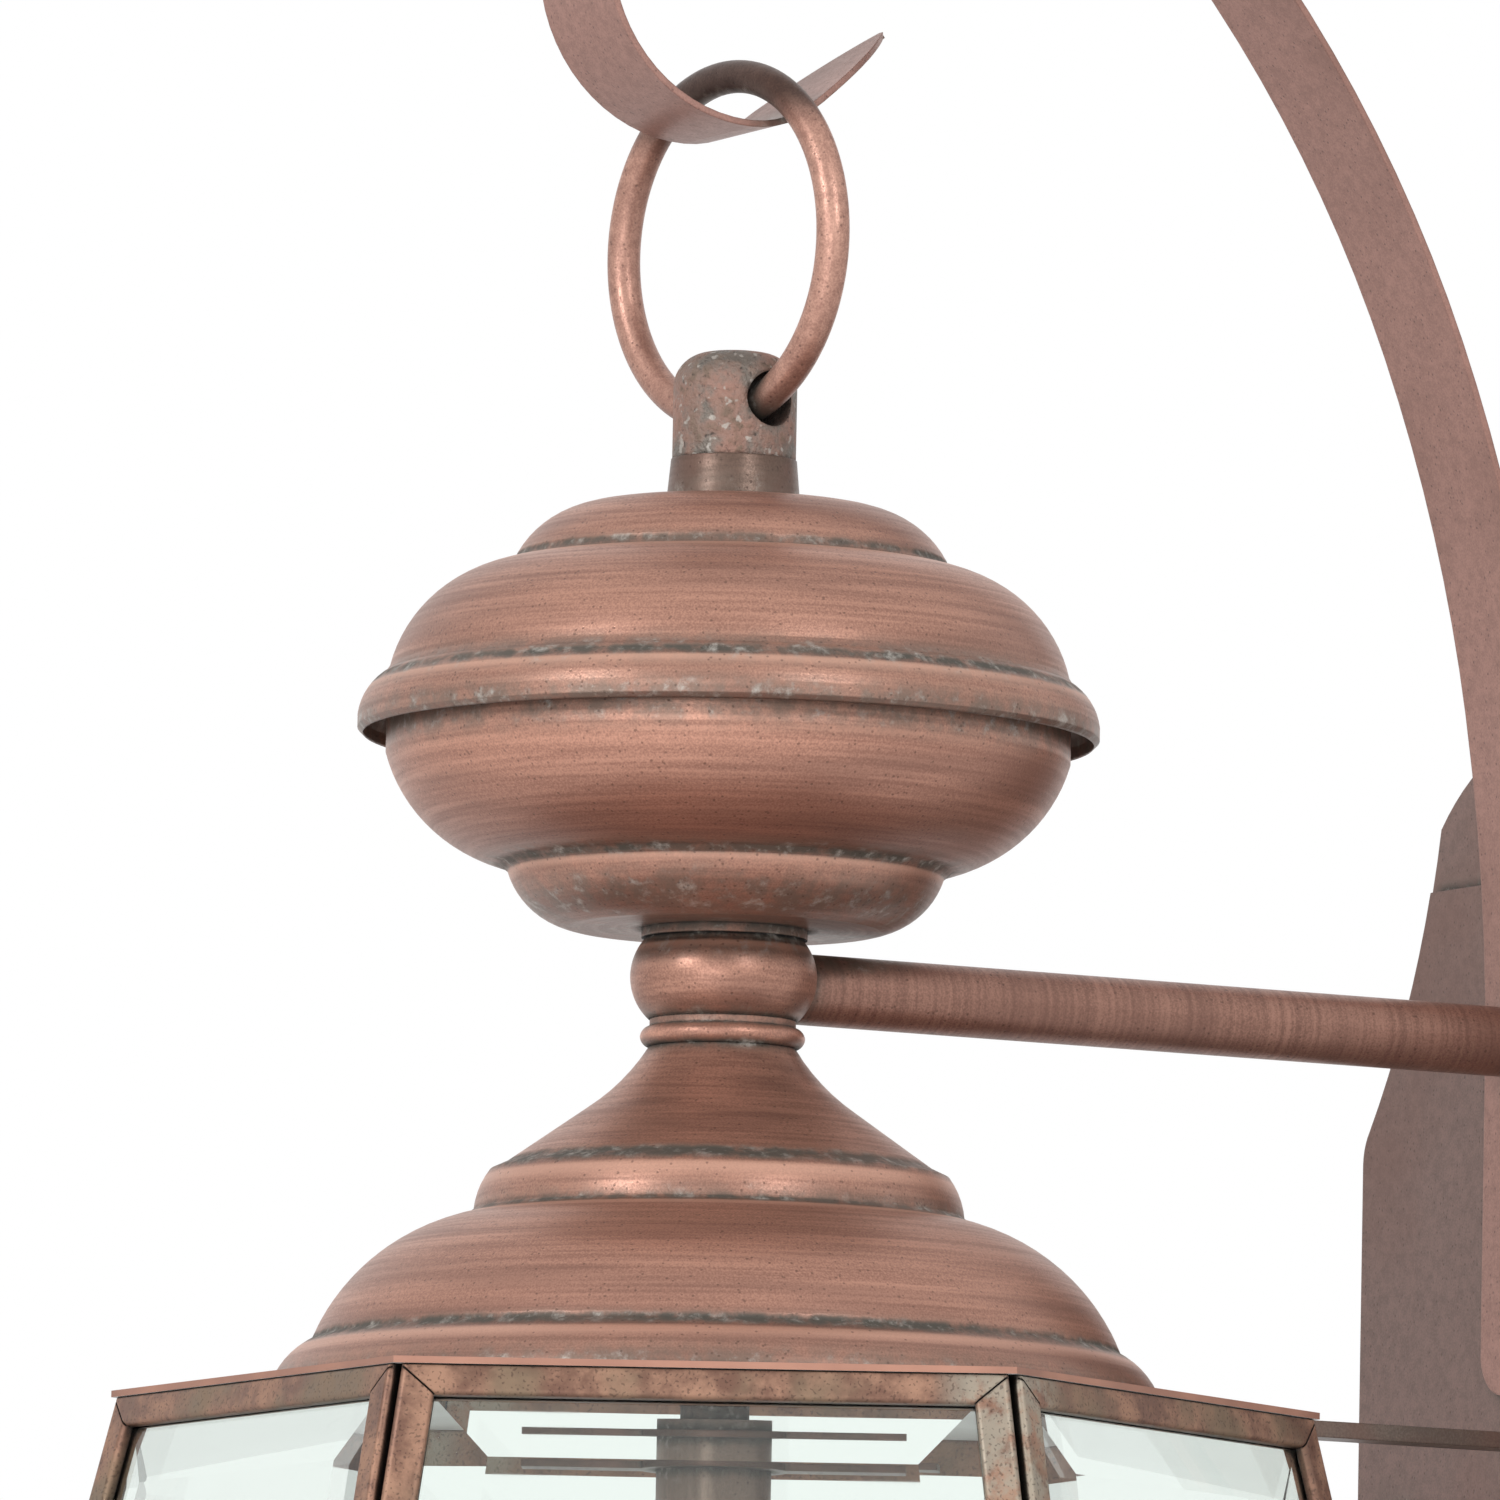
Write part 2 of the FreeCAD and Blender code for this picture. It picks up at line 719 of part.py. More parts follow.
def make_ring():
    """The ring hangs in the finial's eye: it leans from the wall and rolls a little to one side."""
    ring = doc.addObject("Part::Torus", "suspension_ring")
    tie(ring, Radius1="ring_radius", Radius2="ring_wire_radius")
    upright = Rotation(Vector(1, 0, 0), value("90 + ring_lean"))
    ring.Placement = Placement(Vector(), Rotation(Vector(0, 0, 1), value("ring_turn")) * upright)
    forward = "ring_radius * cos(ring_roll) * sin(ring_lean)"
    aside = "ring_radius * sin(ring_roll)"
    tie(ring, **{
        "Placement.Base.x": "%s * sin(ring_turn) - %s * cos(ring_turn)" % (forward, aside),
        "Placement.Base.y": "-axis_reach - %s * cos(ring_turn) - %s * sin(ring_turn)" % (forward, aside),
        "Placement.Base.z": "arm_height + eye_height + ring_radius * cos(ring_roll) * cos(ring_lean)",
    })
    return keep(ring, "suspension_ring")


def make_finial():
    body = spun("eye_finial", [
        ("0", "finial_top"),
        ("finial_flat_radius", "finial_top"),
        ("finial_shoulder_radius", "finial_round_height", "finial_round_radius", "right"),
        ("finial_foot_radius", "collar_top"),
        (ROD_BORE, "collar_top"),
        (ROD_BORE, "collar_top + finial_thread_depth"),
        ("0", "collar_top + finial_thread_depth"),
    ])
    eye = new_sketch(body, "YZ_Plane")
    draw_circle(eye, "0", "eye_height + eye_lift", "eye_radius")
    pocket(body, eye, "4 * finial_foot_radius", symmetric=True)
    on_lantern(body, turn="ring_turn")
    collar = spun("finial_collar", [
        (ROD_BORE, "collar_top"),
        ("collar_top_radius", "collar_top"),
        ("collar_foot_radius", "cap_top"),
        (ROD_BORE, "cap_top"),
    ])
    on_lantern(collar)


def make_vent_ball():
    dome = [
        (ROD_BORE + " + ball_wall", "cap_top"),
        ("cap_flat_radius", "cap_top"),
        ("cap_edge_radius", "cap_edge_height", "cap_round", "right"),
        ("dome_neck_radius", "dome_neck_height"),
        ("dome_edge_radius", "dome_edge_height", "dome_round", "right"),
        ("band_shoulder_radius", "band_shoulder_height"),
        ("band_radius", "band_turn_height", "band_round", "right"),
        ("band_radius", "band_foot + ball_wall"),
    ]
    on_lantern(spun("vent_dome", shell_loop(dome, "ball_wall", "-")))
    bowl = [
        ("bowl_edge_radius", "band_shoulder_height - ball_wall - bowl_rim_gap"),
        ("bowl_edge_radius", "bowl_edge_height"),
        ("bowl_neck_radius", "bowl_neck_height", "bowl_round", "right"),
        ("cup_edge_radius", "cup_edge_height"),
        ("cup_flat_radius", "cup_foot", "cup_round", "right"),
        (ROD_BORE + " + ball_wall", "cup_foot"),
    ]
    on_lantern(spun("vent_bowl", bowl_loop(bowl)))


def bowl_loop(outside):
    """Close the bowl's sheet profile, with its rim cut level."""
    loop = shell_loop(outside, "ball_wall", "+")
    rim = loop[-1]
    loop[-1] = (rim[0], outside[0][1])
    return loop


def make_hub():
    body = spun("hub", [
        (ROD_BORE, "hub_top"),
        ("hub_top_radius", "hub_top"),
        ("hub_foot_radius", "hub_foot", "hub_round", "right"),
        (ROD_BORE, "hub_foot"),
    ])
    seat = new_sketch(body, "XZ_Plane", "-arm_seat")
    draw_circle(seat, "0", "0", "arm_radius + fit_gap")
    pocket(body, seat, "2 * hub_top_radius")
    on_lantern(body)
    washer = spun("hub_washer", [
        (ROD_BORE, "cup_foot"),
        ("washer_radius", "cup_foot"),
        ("washer_radius", "hub_top"),
        (ROD_BORE, "hub_top"),
    ])
    on_lantern(washer)
    bead = spun("bead_ring", [
        (ROD_BORE, "hub_foot"),
        ("bead_neck_radius", "hub_foot"),
        ("bead_neck_radius", "bead_top"),
        ("bead_radius", "(bead_top + bead_foot) / 2", "bead_round", "right"),
        ("bead_neck_radius", "bead_foot", "bead_round", "right"),
        (ROD_BORE, "bead_foot"),
    ])
    on_lantern(bead)


def make_rod():
    length = "collar_top + finial_thread_depth - rod_foot"
    rod = tube("centre_rod", "rod_radius", "rod_radius - rod_wall", length)
    on_lantern(rod, height="rod_foot")
    nut = hex_nut("roof_nut", "roof_nut_radius", ROD_BORE, "roof_nut_thickness")
    on_lantern(nut, height="bead_foot - roof_wall - roof_nut_thickness")


def make_roof():
    outside = [
        (ROD_BORE + " + roof_wall", "bead_foot"),
        ("neck_radius", "bead_foot"),
        ("neck_waist_radius", "neck_waist_height", "neck_round", "left"),
        ("neck_foot_radius", "neck_foot_height"),
        ("ridge_top_radius", "ridge_top_height"),
        ("ridge_foot_radius", "ridge_foot_height", "ridge_round", "right"),
        ("bell_top_radius", "bell_top_height"),
        ("bell_foot_radius", "bell_foot_height", "bell_round", "right"),
        ("rim_top_radius", "rim_top_height"),
        ("rim_radius", SHEET_TOP, "rim_round", "right"),
    ]
    loop = shell_loop(outside, "roof_wall", "-")
    loop[len(outside)] = ("rim_radius - 2 * roof_wall", SHEET_TOP)
    on_lantern(spun("roof", loop))


def make_top_plate():
    sheet_metal = doc.addObject("Part::Prism", "top_plate_sheet")
    sheet_metal.Polygon = SIDES
    tie(sheet_metal, Circumradius="cage_top_radius + top_plate_overhang", Height="top_plate_thickness")
    hole = doc.addObject("Part::Cylinder", "top_plate_hole")
    tie(hole, Radius="stem_radius + fit_gap", Height="top_plate_thickness")
    plate = doc.addObject("Part::Cut", "top_plate")
    plate.Base = sheet_metal
    plate.Tool = hole
    on_lantern(plate, height="cage_top")
    keep(plate, "top_plate")


APOTHEM_TOP = "cage_top_radius * cos(%s)" % HALF_SIDE
SPREAD = "((cage_bottom_radius - cage_top_radius) * cos(%s))" % HALF_SIDE
SLANT = "sqrt(cage_height ^ 2 + %s ^ 2)" % SPREAD
TILT = "atan(%s / cage_height)" % SPREAD
FLARE = "((cage_bottom_radius - cage_top_radius) / 2 / %s)" % SLANT


def trapezoid(inset_top, inset_foot, inset_side, shift="0"):
    """A panel outline in its own plane: y runs up the slant from the top edge at 0."""
    top = "(%s - (%s))" % (shift, inset_top)
    foot = "(%s - %s + (%s))" % (shift, SLANT, inset_foot)
    half_top = "(cage_top_radius / 2 - %s * %s - (%s))" % (FLARE, top, inset_side)
    half_foot = "(cage_top_radius / 2 - %s * %s - (%s))" % (FLARE, foot, inset_side)
    return [
        (half_top, top),
        (half_foot, foot),
        ("-" + half_foot, foot),
        ("-" + half_top, top),
    ]


def panel_placement(number):
    """Stand a panel on its side of the cage, leaning out towards the foot."""
    middle = math.radians((number - 0.5) * FULL_TURN / SIDES)
    lean = math.radians(value(TILT))
    out = Vector(math.cos(middle), math.sin(middle), 0)
    up_slant = out * -math.sin(lean) + Vector(0, 0, math.cos(lean))
    normal = out * math.cos(lean) + Vector(0, 0, math.sin(lean))
    along = Vector(-math.sin(middle), math.cos(middle), 0)
    base = out * value(APOTHEM_TOP) + Vector(0, -value("axis_reach"), value("arm_height + cage_top"))
    return Placement(base, Rotation(along, up_slant, normal, "ZXY"))


def make_panel_frame(number):
    """A came frame with mitred sides and corners, a light opening and a slot for the glass."""
    body = new_body("panel_frame_%d" % number)
    lift = "came_thickness * tan(%s)" % TILT
    face = new_sketch(body, "XY_Plane")
    outside = trapezoid("0", "0", "came_seam / 2")
    draw_loop(face, outside)
    back = new_sketch(body, "XY_Plane", "-came_thickness")
    draw_loop(back, trapezoid("0", "0", "came_thickness * tan(%s) + fit_gap" % HALF_SIDE, lift))
    loft(body, face, back)
    light = new_sketch(body, "XY_Plane")
    opening = trapezoid("came_rail", "came_rail", "came_stile")
    draw_loop(light, opening)
    pocket(body, light, "4 * came_thickness", symmetric=True)
    groove = new_sketch(body, "XY_Plane", "-came_lip")
    edge = "(came_rail - glass_slot_depth)"
    draw_loop(groove, trapezoid(edge, edge, "came_stile - glass_slot_depth"))
    slotted = pocket(body, groove, "glass_slot_width")
    rounded = body.newObject("PartDesign::Fillet", body.Name + "Round")
    rounded.Base = (slotted, front_edges(slotted.Shape))
    tie(rounded, Radius="came_round")
    mitres = new_sketch(body, "XY_Plane")
    for outer, inner in zip(outside, opening):
        draw_loop(mitres, mitre_seam(outer, inner))
    pocket(body, mitres, "mitre_depth")
    body.Placement = panel_placement(number)
    return keep(body, "panel_frame_%d" % number)


def mitre_seam(outer, inner):
    """The narrow gap where a rail meets a stile, from the outer corner to just past the inner one."""
    length = "sqrt((%s - %s) ^ 2 + (%s - %s) ^ 2)" % (inner[0], outer[0], inner[1], outer[1])
    past = [
        "(%s + (%s - %s) * mitre_overrun / %s)" % (near, near, far, length)
        for near, far in zip(inner, outer)
    ]
    return [
        ("%s - mitre_gap / 2" % outer[0], outer[1]),
        ("%s + mitre_gap / 2" % outer[0], outer[1]),
        ("%s + mitre_gap / 2" % past[0], past[1]),
        ("%s - mitre_gap / 2" % past[0], past[1]),
    ]


def front_edges(shape):
    """The edges of a frame's front face, round the outside and round the opening."""
    edges = []
    for number, edge in enumerate(shape.Edges, start=1):
        if all(abs(vertex.Point.z) < value("fit_gap") for vertex in edge.Vertexes):
            edges.append("Edge%d" % number)
    return edges


def make_glass_panel(number):
    """A clear pane whose edge sits in the frame's slot, bevelled on the outside."""
    body = new_body("glass_panel_%d" % number)
    buried = "(glass_slot_depth - glass_edge_gap)"
    margin = ("came_rail - " + buried, "came_rail - " + buried, "came_stile - " + buried)
    field = ("came_rail + bevel_width", "came_rail + bevel_width", "came_stile + bevel_width")
    seat = "-came_lip - glass_edge_gap"
    edge = new_sketch(body, "XY_Plane", seat)
    draw_loop(edge, trapezoid(*margin))
    pad(body, edge, "glass_slot_width - 2 * glass_edge_gap", reverse=True)
    foot = new_sketch(body, "XY_Plane", seat)
    draw_loop(foot, trapezoid("came_rail + fit_gap", "came_rail + fit_gap", "came_stile + fit_gap"))
    crown = new_sketch(body, "XY_Plane", seat + " + bevel_rise")
    draw_loop(crown, trapezoid(*field))
    loft(body, foot, crown)
    body.Placement = panel_placement(number)
    return keep(body, "glass_panel_%d" % number)


def make_bottom_rim():
    outside = doc.addObject("Part::Prism", "bottom_rim_outside")
    outside.Polygon = SIDES
    tie(outside, Circumradius="cage_bottom_radius + foot_rim_overhang", Height="foot_rim_thickness")
    inside = doc.addObject("Part::Prism", "bottom_rim_inside")
    inside.Polygon = SIDES
    inner_radius = "cage_bottom_radius - foot_rim_width / cos(%s)" % HALF_SIDE
    tie(inside, Circumradius=inner_radius, Height="foot_rim_thickness")
    rim = doc.addObject("Part::Cut", "bottom_rim")
    rim.Base = outside
    rim.Tool = inside
    on_lantern(rim, height="cage_top - cage_height - foot_rim_thickness")
    keep(rim, "bottom_rim")


def make_socket_column():
    stem = spun("socket_stem", [
        (ROD_BORE, "stem_top"),
        ("stem_radius", "stem_top"),
        ("stem_radius", "stem_foot"),
        ("stem_neck_radius", "stem_foot"),
        ("stem_neck_radius", "socket_top"),
        ("0", "socket_top"),
        ("0", "rod_foot"),
        (ROD_BORE, "rod_foot"),
    ])
    on_lantern(stem)
    floor = "socket_foot + socket_bore_depth"
    lamp_socket = spun("lamp_socket", [
        ("0", "socket_top"),
        ("stem_radius", "socket_top"),
        ("stem_radius", "socket_foot"),
        ("socket_bore_radius", "socket_foot"),
        ("socket_bore_radius", floor),
        ("0", floor),
    ])
    on_lantern(lamp_socket)
    screw = doc.addObject("Part::Cylinder", "stem_screw")
    tie(screw, Radius="screw_radius", Height="screw_length")
    outward = Rotation(Vector(0, 0, 1), value("lamp_bar_turn")) * Rotation(Vector(0, 1, 0), 90)
    start = "(stem_radius + fit_gap)"
    screw.Placement = Placement(Vector(), outward)
    screw.setExpression("Placement.Base.x", bound(start + " * cos(lamp_bar_turn)"))
    screw.setExpression("Placement.Base.y", bound("-axis_reach + %s * sin(lamp_bar_turn)" % start))
    screw.setExpression("Placement.Base.z", bound("arm_height + screw_height"))
    keep(screw, "stem_screw")
    body = new_body("lamp_bar")
    strip = new_sketch(body, "XY_Plane")
    draw_loop(strip, rectangle("lamp_bar_length", "lamp_bar_width"))
    pad(body, strip, "lamp_bar_thickness")
    eye = new_sketch(body, "XY_Plane")
    draw_circle(eye, "0", "0", "lamp_bar_eye_radius")
    pad(body, eye, "lamp_bar_thickness")
    hole = new_sketch(body, "XY_Plane")
    draw_circle(hole, "0", "0", "stem_radius + fit_gap")
    pocket(body, hole, "4 * lamp_bar_thickness", symmetric=True)
    on_lantern(body, height="lamp_bar_height", turn="lamp_bar_turn")
    keep(body, "lamp_bar")


def main():
    make_backplate()
    make_crossbar()
    make_studs()
    make_cap_nuts()
    make_arm()
    make_crook_strap()
    make_stay()
    make_ring()
    make_finial()
    make_vent_ball()
    make_hub()
    make_rod()
    make_roof()
    make_top_plate()
    for number in range(1, SIDES + 1):
        make_panel_frame(number)
        make_glass_panel(number)
    make_bottom_rim()
    make_socket_column()
    doc.recompute()
    for thing in doc.Objects:
        if "Invalid" in thing.State or "Error" in thing.State:
            raise RuntimeError("%s did not recompute: %s" % (thing.Label, thing.State))
    for thing in subparts:
        if thing.Shape.isNull() or not thing.Shape.isValid() or not thing.Shape.Solids:
            raise RuntimeError("%s has no valid solid" % thing.Label)
    os.makedirs("parts", exist_ok=True)
    for thing in subparts:
        thing.Shape.exportStep("parts/%s.step" % thing.Label)


main()
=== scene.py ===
"""Looks of the wall lantern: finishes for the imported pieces, a pale studio and the photo's camera.

Metres, in the part's own frame: the wall is the plane Y = 0 and +Z is up.
"""

import math

import bpy
from mathutils import Matrix, Vector


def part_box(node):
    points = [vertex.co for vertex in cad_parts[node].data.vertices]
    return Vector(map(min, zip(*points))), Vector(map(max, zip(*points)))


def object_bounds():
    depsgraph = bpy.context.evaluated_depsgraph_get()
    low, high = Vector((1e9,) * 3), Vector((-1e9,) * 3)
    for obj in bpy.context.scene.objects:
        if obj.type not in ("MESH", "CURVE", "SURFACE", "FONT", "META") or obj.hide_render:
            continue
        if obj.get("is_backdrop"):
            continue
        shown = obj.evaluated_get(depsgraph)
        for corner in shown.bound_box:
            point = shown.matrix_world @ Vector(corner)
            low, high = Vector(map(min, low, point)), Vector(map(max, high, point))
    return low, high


# The photo's camera, and how far the picture's middle lies from where the arm meets the hub
AZIMUTH = math.radians(61.07)
ELEVATION = math.radians(-6.51)
ROLL = math.radians(1.135)
DISTANCE = 3.0407
LENS_MM = 405.1
SENSOR_MM = 36.0
FAR_CLIP = 30.0
AIM_RIGHT = 0.0053
AIM_UP = 0.04205

# Floor and surround: a strength of 1 is white
FLOOR_DROP = 0.26
FLOOR_SIZE = 9.0
FLOOR_WHITE = 0.86
FLOOR_SHADES = (0.98, 1.0)
FLOOR_ROUGHNESS = 0.8
FLOOR_LIFT = 0.32
AMBIENT = 0.54
BACKGROUND = 1.0

# Soft panels: azimuth and elevation in degrees, distance, side and watts
PANELS = {
    "panel_left": (14, 22, 1.8, 0.4, 9.0),
    "panel_right": (90, 24, 1.7, 0.3, 5.6),
    "panel_front": (44, -6, 2.4, 1.2, 12.8),
}

# Turned grooves, where patina gathers: height above the arm, half width of the line (0 for a film
# alone), reach of the film
GROOVES = {
    "vent_dome": ((0.0763, 0.0006, 0.0020), (0.0532, 0.0007, 0.0050), (0.0450, 0, 0.0060)),
    "vent_bowl": ((0.0437, 0, 0.0062), (0.0205, 0.0006, 0.0026), (0.0130, 0, 0.0090)),
    "roof": ((-0.0338, 0.0012, 0.0024), (-0.0424, 0.0004, 0.0016), (-0.0662, 0.0009, 0.0024),
             (-0.0752, 0, 0.0066)),
    "hub": ((0.0074, 0.0006, 0.0036), (-0.0070, 0.0005, 0.0034)),
}

# Noise: cells to the metre, octaves of detail, and how strongly each finer octave shows
GRAIN_LINES = (1.0, 2.0, 0.5)
DRAWN_CLOUDS = (40.0, 3.0, 0.5)
ROLLED_FINE = (420.0, 3.0, 0.7)
ROLLED_CLOUDS = (18.0, 3.0, 0.5)
GROOVE_SWAY = (26.0, 2.0, 0.5)
DUST = (2600.0, 1.0, 0.5)
BLOTCHES = (210.0, 4.0, 0.65)
BLOOM_FLECKS = (300.0, 4.0, 0.7)
CAST_LUMPS = (130.0, 5.0, 0.62)
CAST_MOTTLE = (260.0, 4.0, 0.6)
CAST_PITS = (900.0, 3.0, 0.5)
CAST_FLECKS = (480.0, 2.0, 0.5)
CAME_STREAKS = (110.0, 5.0, 0.68)
CAME_FILM = (48.0, 4.0, 0.5)
CAME_CRUST = (160.0, 5.0, 0.7)
CAME_SPECKS = (1900.0, 0.0, 0.5)
CAME_GRAIN = (420.0, 3.0, 0.5)
TOP_CLOUDS = (60.0, 4.0, 0.5)
TOP_GRAIN = (700.0, 2.0, 0.5)
ZINC_SPANGLE = (160.0, 4.0, 0.5)
ZINC_GRAIN = (900.0, 2.0, 0.5)
GLASS_SMEARS = (40.0, 3.0, 0.5)
GLASS_WAVES = (22.0, 2.0, 0.5)
FLOOR_CLOUDS = (3.0, 2.0, 0.5)

# Grain lines: cells to the metre across and along them, and round a turned piece to one radius
TURNED_FINE, TURNED_FINE_ROUND = 1100.0, 1.5
TURNED_BROAD, TURNED_BROAD_ROUND = 130.0, 0.9
DRAWN_ACROSS, DRAWN_ALONG = 900.0, 25.0
X_AXIS, Y_AXIS = 0, 1

# Levels: a pair gives where a layer starts and where it is full, and two more the value at each end
TONE_LEVELS = (0.32, 0.68)
FILM_LEVELS = (0.45, 0.68)
UNDERSIDE_LEVELS = (-0.25, -0.95)
SWAY_LEVELS = (0.30, 0.62, 0.40, 0.95)
WIDE_LEVELS = (0.0, 0.40)
WIDE_BLOTCH_LEVELS = (0.30, 0.62, 0.25, 0.85)
TIGHT_LEVELS = (0.0, 0.42)
TIGHT_BLOTCH_LEVELS = (0.32, 0.55, 0.45, 1.0)
BLACK_LEVELS = (0.38, 0.70)
NEAR_LEVELS = (0.35, 0.80)
BLOOM_LEVELS = (0.48, 0.74)
COPPER_ROUGHNESS = (0.3, 0.7, 0.43, 0.35)
COPPER_METALLIC = (0.0, 1.0, 0.55, 0.15)
DOT_LEVELS = (0.30, 0.14)
CAST_PINK_LEVELS = (0.38, 0.64)
CAST_OLIVE_LEVELS = (0.50, 0.68)
CAST_PIT_LEVELS = (0.60, 0.74)
CAST_FLECK_LEVELS = (0.62, 0.70)
CAST_TIGHT_LEVELS = (0.30, 0.7)
CAST_ROUGHNESS = (0.3, 0.7, 0.48, 0.7)
CAME_TAN_LEVELS = (0.36, 0.64)
CAME_OLIVE_LEVELS = (0.48, 0.66)
CAME_CRUST_LEVELS = (0.36, 0.58)
CAME_TIGHT_LEVELS = (0.22, 0.60)
CAME_SPECK_LEVELS = (0.62, 0.74)
CAME_ROUGHNESS = (0.3, 0.7, 0.36, 0.56)
TOP_BELOW_LEVELS = (-0.6, -0.4, 1.0, 0.0)
TOP_COPPER_LEVELS = (0.15, 0.85)
TOP_PAINT_LEVELS = (0.35, 0.65)
TOP_ROUGHNESS = (0.3, 0.7, 0.4, 0.55)
ZINC_LEVELS = (0.35, 0.65)
ZINC_TIGHT_LEVELS = (0.4, 0.8)
ZINC_ROUGHNESS = (0.3, 0.7, 0.34, 0.5)
GLASS_ROUGHNESS = (0.45, 0.8, 0.0, 0.035)

# The copper's tone is mixed from fine grain and dust
FINE_SHARE = 0.55
DUST_SHARE = 0.45

# Dark specks: cells to the metre, and the share of cells that hold one
SPECK_CELLS = 900.0
SPECK_CHANCE = 0.35

# How much of what lies under it each layer covers
FILM_SHARE = 0.5
# Painted shade: how far faces that look down darken to brown, for most copper, the sheet and the tube
UNDERSIDE_SHADE_SHARE = 0.45
UNDERSIDE_SHADE_SHARE_SHEET = 0.15
UNDERSIDE_SHADE_SHARE_TUBE = 0.1
DARK_TOP_SHARE = 0.8
LIP_HIGHLIGHT_SHARE = 0.55
LINE_BLOOM_SHARE = 0.8
BLOOM_SHARE = 0.8
SPECK_SHARE = 0.45
CAST_OLIVE_SHARE = 0.7
CAST_PIT_SHARE = 0.7
CAST_FLECK_SHARE = 0.7
CAME_OLIVE_SHARE = 0.75
CAME_PALE_SHARE = 0.8
CAME_SPECK_SHARE = 0.5
ZINC_TIGHT_SHARE = 0.6

# Groove lines, in half widths of the line: its soft edge, and the lip below it, which gets a painted
# highlight
LINE_EDGE = (1.6, 0.3)
LIP_TOP = (1.2, 2.0)
LIP_BOTTOM = (4.5, 2.2)

# The middle of the noise, about which a line's edge wavers
MIDDLE_LEVEL = 0.5

# Reach of the crevices that hold dirt, with painted shade in the wide one, and the rays that look for them
WIDE_SHADE_REACH = 0.009
TIGHT_REACH = 0.0024
CAST_REACH = 0.005
CAME_REACH = 0.0026
ZINC_REACH = 0.003
CREVICE_SAMPLES = 6

# The ring's black top, below its highest point, and the came's pale corners, either side of the axis
DARK_TOP_DEPTH = 0.014
DARK_TOP_FADE = 0.009
DARK_TOP_SWAY = 0.006
PALE_CORNER = (0.014, 0.007)

# Relief: depth of each bump, radius of the softened edges and the rays that find them, and how deep
# the specks, lines and pits go beside the grain
COPPER_BUMP = 0.00004
CAST_BUMP = 0.0012
CAME_BUMP = 0.0001
TOP_BUMP = 0.00003
ZINC_BUMP = 0.00003
GLASS_BUMP = 0.00004
COPPER_EDGE = 0.0005
CAST_EDGE = 0.0012
CAME_EDGE = 0.0005
ZINC_EDGE = 0.0004
EDGE_SAMPLES = 4
SPECK_DEPTH = 0.6
LINE_DEPTH = 6.0
PIT_DEPTH = 0.4

# Shading
PATINA_ROUGHENS = 0.3
CAST_METALLIC = 0.4
CAME_METALLIC = 0.55
TOP_METALLIC = 0.6
ZINC_METALLIC = 0.9
GLASS_IOR = 1.5


def srgb(red, green, blue):
    """A colour written in 8-bit display values, as the linear colour the shaders take."""
    def linear(level):
        share = level / 255
        return share / 12.92 if share <= 0.04045 else ((share + 0.055) / 1.055) ** 2.4
    return (linear(red), linear(green), linear(blue), 1.0)


SPUN_LOW = srgb(148, 107, 92)
SPUN_HIGH = srgb(190, 142, 122)
# Painted light: a lighter copy of the spun copper for the vent bowl and bead ring, standing in for light on
# their lower faces
BOWL_PAINTED_LIGHT_LOW = srgb(167, 120, 103)
BOWL_PAINTED_LIGHT_HIGH = srgb(212, 158, 136)
WIRE_LOW = srgb(160, 119, 105)
WIRE_HIGH = srgb(202, 156, 138)
SHEET_LOW = srgb(151, 115, 105)
SHEET_HIGH = srgb(175, 133, 121)
TUBE_LOW = srgb(128, 93, 81)
TUBE_HIGH = srgb(166, 124, 108)
COLLAR_LOW = srgb(88, 70, 60)
COLLAR_HIGH = srgb(108, 86, 75)
# Painted highlight on the lip below each groove
LIP_HIGHLIGHT = srgb(222, 174, 152)
PLATE_LOW = srgb(118, 96, 89)
PLATE_HIGH = srgb(138, 111, 103)
SLEEVE_LOW = srgb(104, 94, 87)
SLEEVE_HIGH = srgb(134, 120, 110)
COLUMN_LOW = srgb(124, 104, 93)
COLUMN_HIGH = srgb(154, 131, 118)
FILM_BROWN = srgb(124, 90, 79)
# Grey of the film, also painted as shade in wide crevices
FILM_AND_SHADE_GREY = srgb(116, 102, 92)
# Painted shade on faces that look down
UNDERSIDE_SHADE_BROWN = srgb(84, 56, 48)
PATINA_GREY = srgb(76, 73, 66)
PATINA_BLACK = srgb(32, 30, 28)
BLOOM_WHITE = srgb(188, 182, 174)
SPECK_DARK = srgb(60, 42, 37)
CAST_GREY = srgb(118, 110, 102)
CAST_PINK = srgb(168, 128, 114)
CAST_OLIVE = srgb(106, 98, 84)
CAME_BROWN = srgb(118, 86, 72)
CAME_TAN = srgb(166, 128, 106)
CAME_OLIVE = srgb(124, 108, 88)
CAME_PALE = srgb(160, 153, 138)
STEEL_LIGHT = srgb(196, 196, 192)
STEEL_DARK = srgb(128, 128, 126)
PAINT_WHITE = srgb(240, 240, 238)
PAINT_SOFT = srgb(228, 228, 225)
GLASS_TINT = srgb(246, 251, 248)
WHITE = (1.0, 1.0, 1.0, 1.0)


